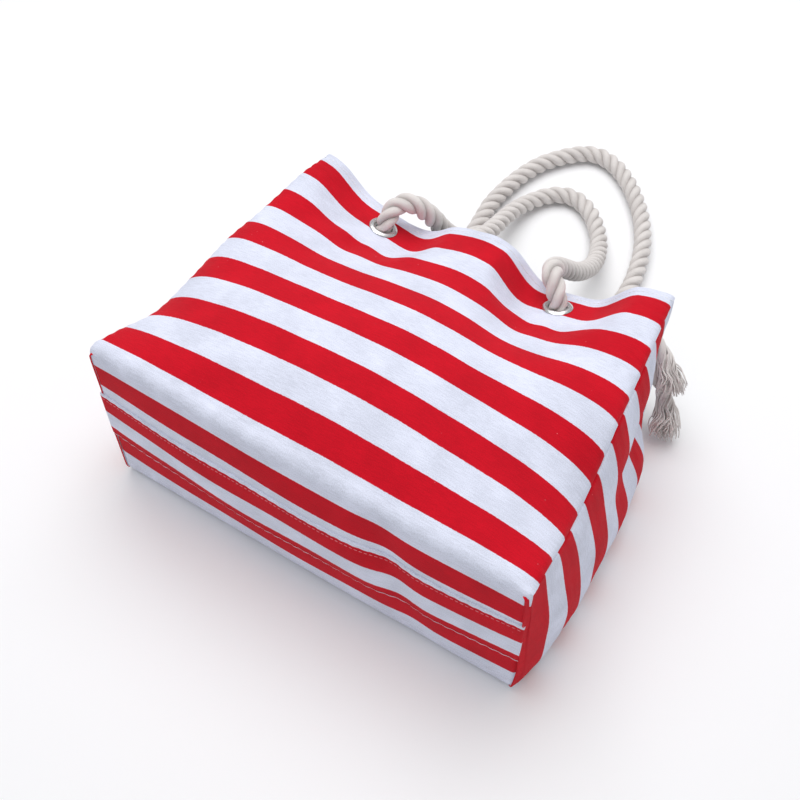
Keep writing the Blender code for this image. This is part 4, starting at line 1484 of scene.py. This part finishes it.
    def fray(self, name: str, path: Array, length: float, seed: int) -> bpy.types.Object:
        """Make the untwisted yarns at a rope's end.

        Args:
            name: Piece name.
            path: Places along the rope's end.
            length: How far back the yarns are loose.
            seed: Seed of their scatter.

        Returns:
            The brush of yarns.
        """
        rng = np.random.default_rng(seed)
        run = travelled(path)
        _, aside, across = carried_axes(path)
        rings, around = 12, 6
        angles = np.arange(around) * 2 * math.pi / around
        points, faces, groove_shade = [], [], []
        for k in range(130):
            start = run[-1] - length * rng.uniform(0.85, 1.1)
            stop = run[-1] - length * rng.uniform(-0.10, 0.22)
            at = np.linspace(start, stop, rings)
            beyond = np.maximum(at - run[-1], 0.0)[:, None] * unit(path[-1] - path[-3])
            base = np.stack([np.interp(at, run, path[:, c]) for c in range(3)], -1) + beyond
            near = np.clip(np.searchsorted(run, at), 0, len(path) - 1)
            share = math.sqrt(rng.uniform(0.02, 1.0))
            angle = rng.uniform(0, 2 * math.pi)
            grown = smooth(0.0, 1.0, np.linspace(0, 1, rings))
            reach = share * (TAIL_RADIUS * 0.86 + (FRAY_RADIUS * rng.uniform(0.8, 1.6) - TAIL_RADIUS) * grown)
            swirl = angle + 1.5 * np.linspace(0, 1, rings) + 0.4 * np.sin(np.linspace(0, 7, rings) + angle)
            centre = base + reach[:, None] * (np.cos(swirl)[:, None] * aside[near]
                                              + np.sin(swirl)[:, None] * across[near])
            thick = 0.00085 * (1 - 0.45 * np.linspace(0, 1, rings) ** 2)
            way, one, two = carried_axes(centre)
            grid = centre[:, None] + thick[:, None, None] * (
                np.cos(angles)[None, :, None] * one[:, None] + np.sin(angles)[None, :, None] * two[:, None])
            offset = len(points) * rings * around
            faces += quads_of(rings, around, offset, wrap=True).tolist()
            faces.append(list(range(offset, offset + around))[::-1])
            faces.append(list(range(offset + (rings - 1) * around, offset + rings * around)))
            points.append(grid.reshape(-1, 3))
            # Painted shade inside the brush: yarns near its middle are darker, each with a little random
            # tone.
            groove_shade.append(np.full(rings * around, 0.12 + 0.55 * (1 - share) + 0.15 * rng.random()))
        piece = link_mesh(name, in_row(np.concatenate(points)), faces, self.cloths.rope)
        shade = piece.data.attributes.new("groove_shade", "FLOAT", "POINT")
        shade.data.foreach_set("value", np.concatenate(groove_shade).astype(np.float32))
        face_outwards(piece)
        on_bag(piece)
        return piece

    def tail(self, word: str, route: Sequence, seed: int) -> bpy.types.Object:
        """Make a knot's loose end with its frayed brush."""
        panel = Panel.FRONT if word.startswith("front") else Panel.BACK
        side = Side.LEFT if word.endswith("left") else Side.RIGHT
        place, out = self.shape.grommet(panel, side)
        centre = self.knot_centre(place, out)
        start = centre + unit(np.array(route[0]) - centre) * (KNOT_RADIUS - 0.008)
        whole = even_path([start] + [np.array(p) for p in route], self.lay.step)
        brush = self.fray(f"frayed_end_{word}", whole, 0.046, seed)
        path = whole[:-4]
        left = (len(whole) - 1 - np.arange(len(path))) * self.lay.step
        radius = TAIL_RADIUS * (1 - 0.42 * (1 - smooth(0.012, 0.050, left)))
        piece = self.lay.mesh(f"rope_end_{word}", path, radius, self.cloths.rope)
        on_bag(piece, f"tail_{word}")
        tuple(in_row(start))
        in_row(path).tolist()
        return piece

    def build(self) -> int:
        """Build and dress the ropes and return how many pieces they have."""
        self.handle(Panel.FRONT, self.front_route, "front")
        self.handle(Panel.BACK, self.rear_route, "rear")
        for panel, face in ((Panel.FRONT, "front"), (Panel.BACK, "rear")):
            for side in Side:
                self.knot(panel, side, face)
        for seed, (word, route) in enumerate(self.tail_routes):
            self.tail(word, route, 11 + seed)
        return 14


@dataclass(frozen=True)
class Studio:
    """Camera, soft lights and a plain pale floor."""

    lens: float = 49.5
    azimuth: float = 32.2
    elevation: float = 52.5
    distance: float = 1.07
    target: tuple = (0.0, 0.0, 0.08)

    def camera(self) -> None:
        """Place the camera above the bag's base and right end."""
        az, el = math.radians(self.azimuth), math.radians(self.elevation)
        back = Vector((math.sin(az) * math.cos(el), -math.cos(az) * math.cos(el), math.sin(el)))
        right = Vector((math.cos(az), math.sin(az), 0.0))
        up = back.cross(right)
        data = bpy.data.cameras.new("camera")
        data.lens = self.lens
        data.sensor_width = 36.0
        camera = bpy.data.objects.new("camera", data)
        bpy.context.scene.collection.objects.link(camera)
        camera.location = Vector(self.target) - right * 0.001 + up * 0.002 + back * self.distance
        camera.rotation_euler = (-back).to_track_quat("-Z", "Y").to_euler()
        bpy.context.scene.camera = camera

    def lamp(self, name: str, place: tuple, aim: tuple, size: float, power: float,
             colour: tuple = (1.0, 1.0, 1.0)) -> None:
        """Hang one square soft light.

        Args:
            name: Light name.
            place: Where it hangs.
            aim: Where it points.
            size: Side of its square.
            power: Watts.
            colour: Its colour.
        """
        data = bpy.data.lights.new(name, "AREA")
        data.size = size
        data.energy = power
        data.color = colour
        lamp = bpy.data.objects.new(name, data)
        bpy.context.scene.collection.objects.link(lamp)
        lamp.location = place
        lamp.rotation_euler = (Vector(aim) - Vector(place)).to_track_quat("-Z", "Y").to_euler()

    def floor(self) -> None:
        """Lay the floor just under the bag."""
        material = bpy.data.materials.new("studio_floor")
        material.use_nodes = True
        shader = material.node_tree.nodes["Principled BSDF"]
        shader.inputs["Base Color"].default_value = (0.93, 0.93, 0.94, 1.0)
        shader.inputs["Roughness"].default_value = 0.9
        mesh = bpy.data.meshes.new("studio_floor")
        reach = 6.0
        mesh.from_pydata([(-reach, -reach, -0.0012), (reach, -reach, -0.0012), (reach, reach, -0.0012),
                          (-reach, reach, -0.0012)], [], [(0, 1, 2, 3)])
        mesh.materials.append(material)
        plane = bpy.data.objects.new("studio_floor", mesh)
        bpy.context.scene.collection.objects.link(plane)

    def build(self) -> None:
        """Set up the whole studio."""
        bpy.context.scene.view_settings.view_transform = "Standard"
        self.camera()
        self.lamp("overhead", (-0.3, 0.5, 2.2), (0.0, 0.05, 0.1), 2.2, 42.0)
        self.lamp("front_fill", (0.9, -1.8, 1.0), (0.0, 0.0, 0.1), 1.6, 0.8, (0.97, 0.98, 1.0))
        world = bpy.data.worlds.new("studio")
        bpy.context.scene.world = world
        world.use_nodes = True
        background = world.node_tree.nodes["Background"]
        background.inputs[0].default_value = (0.97, 0.98, 1.0, 1.0)
        background.inputs[1].default_value = 0.50
        self.floor()


def main() -> None:
    """Build the studio, the body, the grommets and the ropes in order."""
    logging.basicConfig(level=logging.INFO, format="%(name)s: %(message)s")
    Studio().build()
    LOG.info("studio ready")
    shape, cloths = BodyShape(), Cloths.make()
    LOG.info("sewn body: %d pieces", BagBody(shape, cloths).build())
    LOG.info("grommets: %d pieces", Grommets(shape, cloths).build())
    LOG.info("ropes: %d pieces", Ropes(shape, cloths).build())


if __name__ == "__main__":
    main()
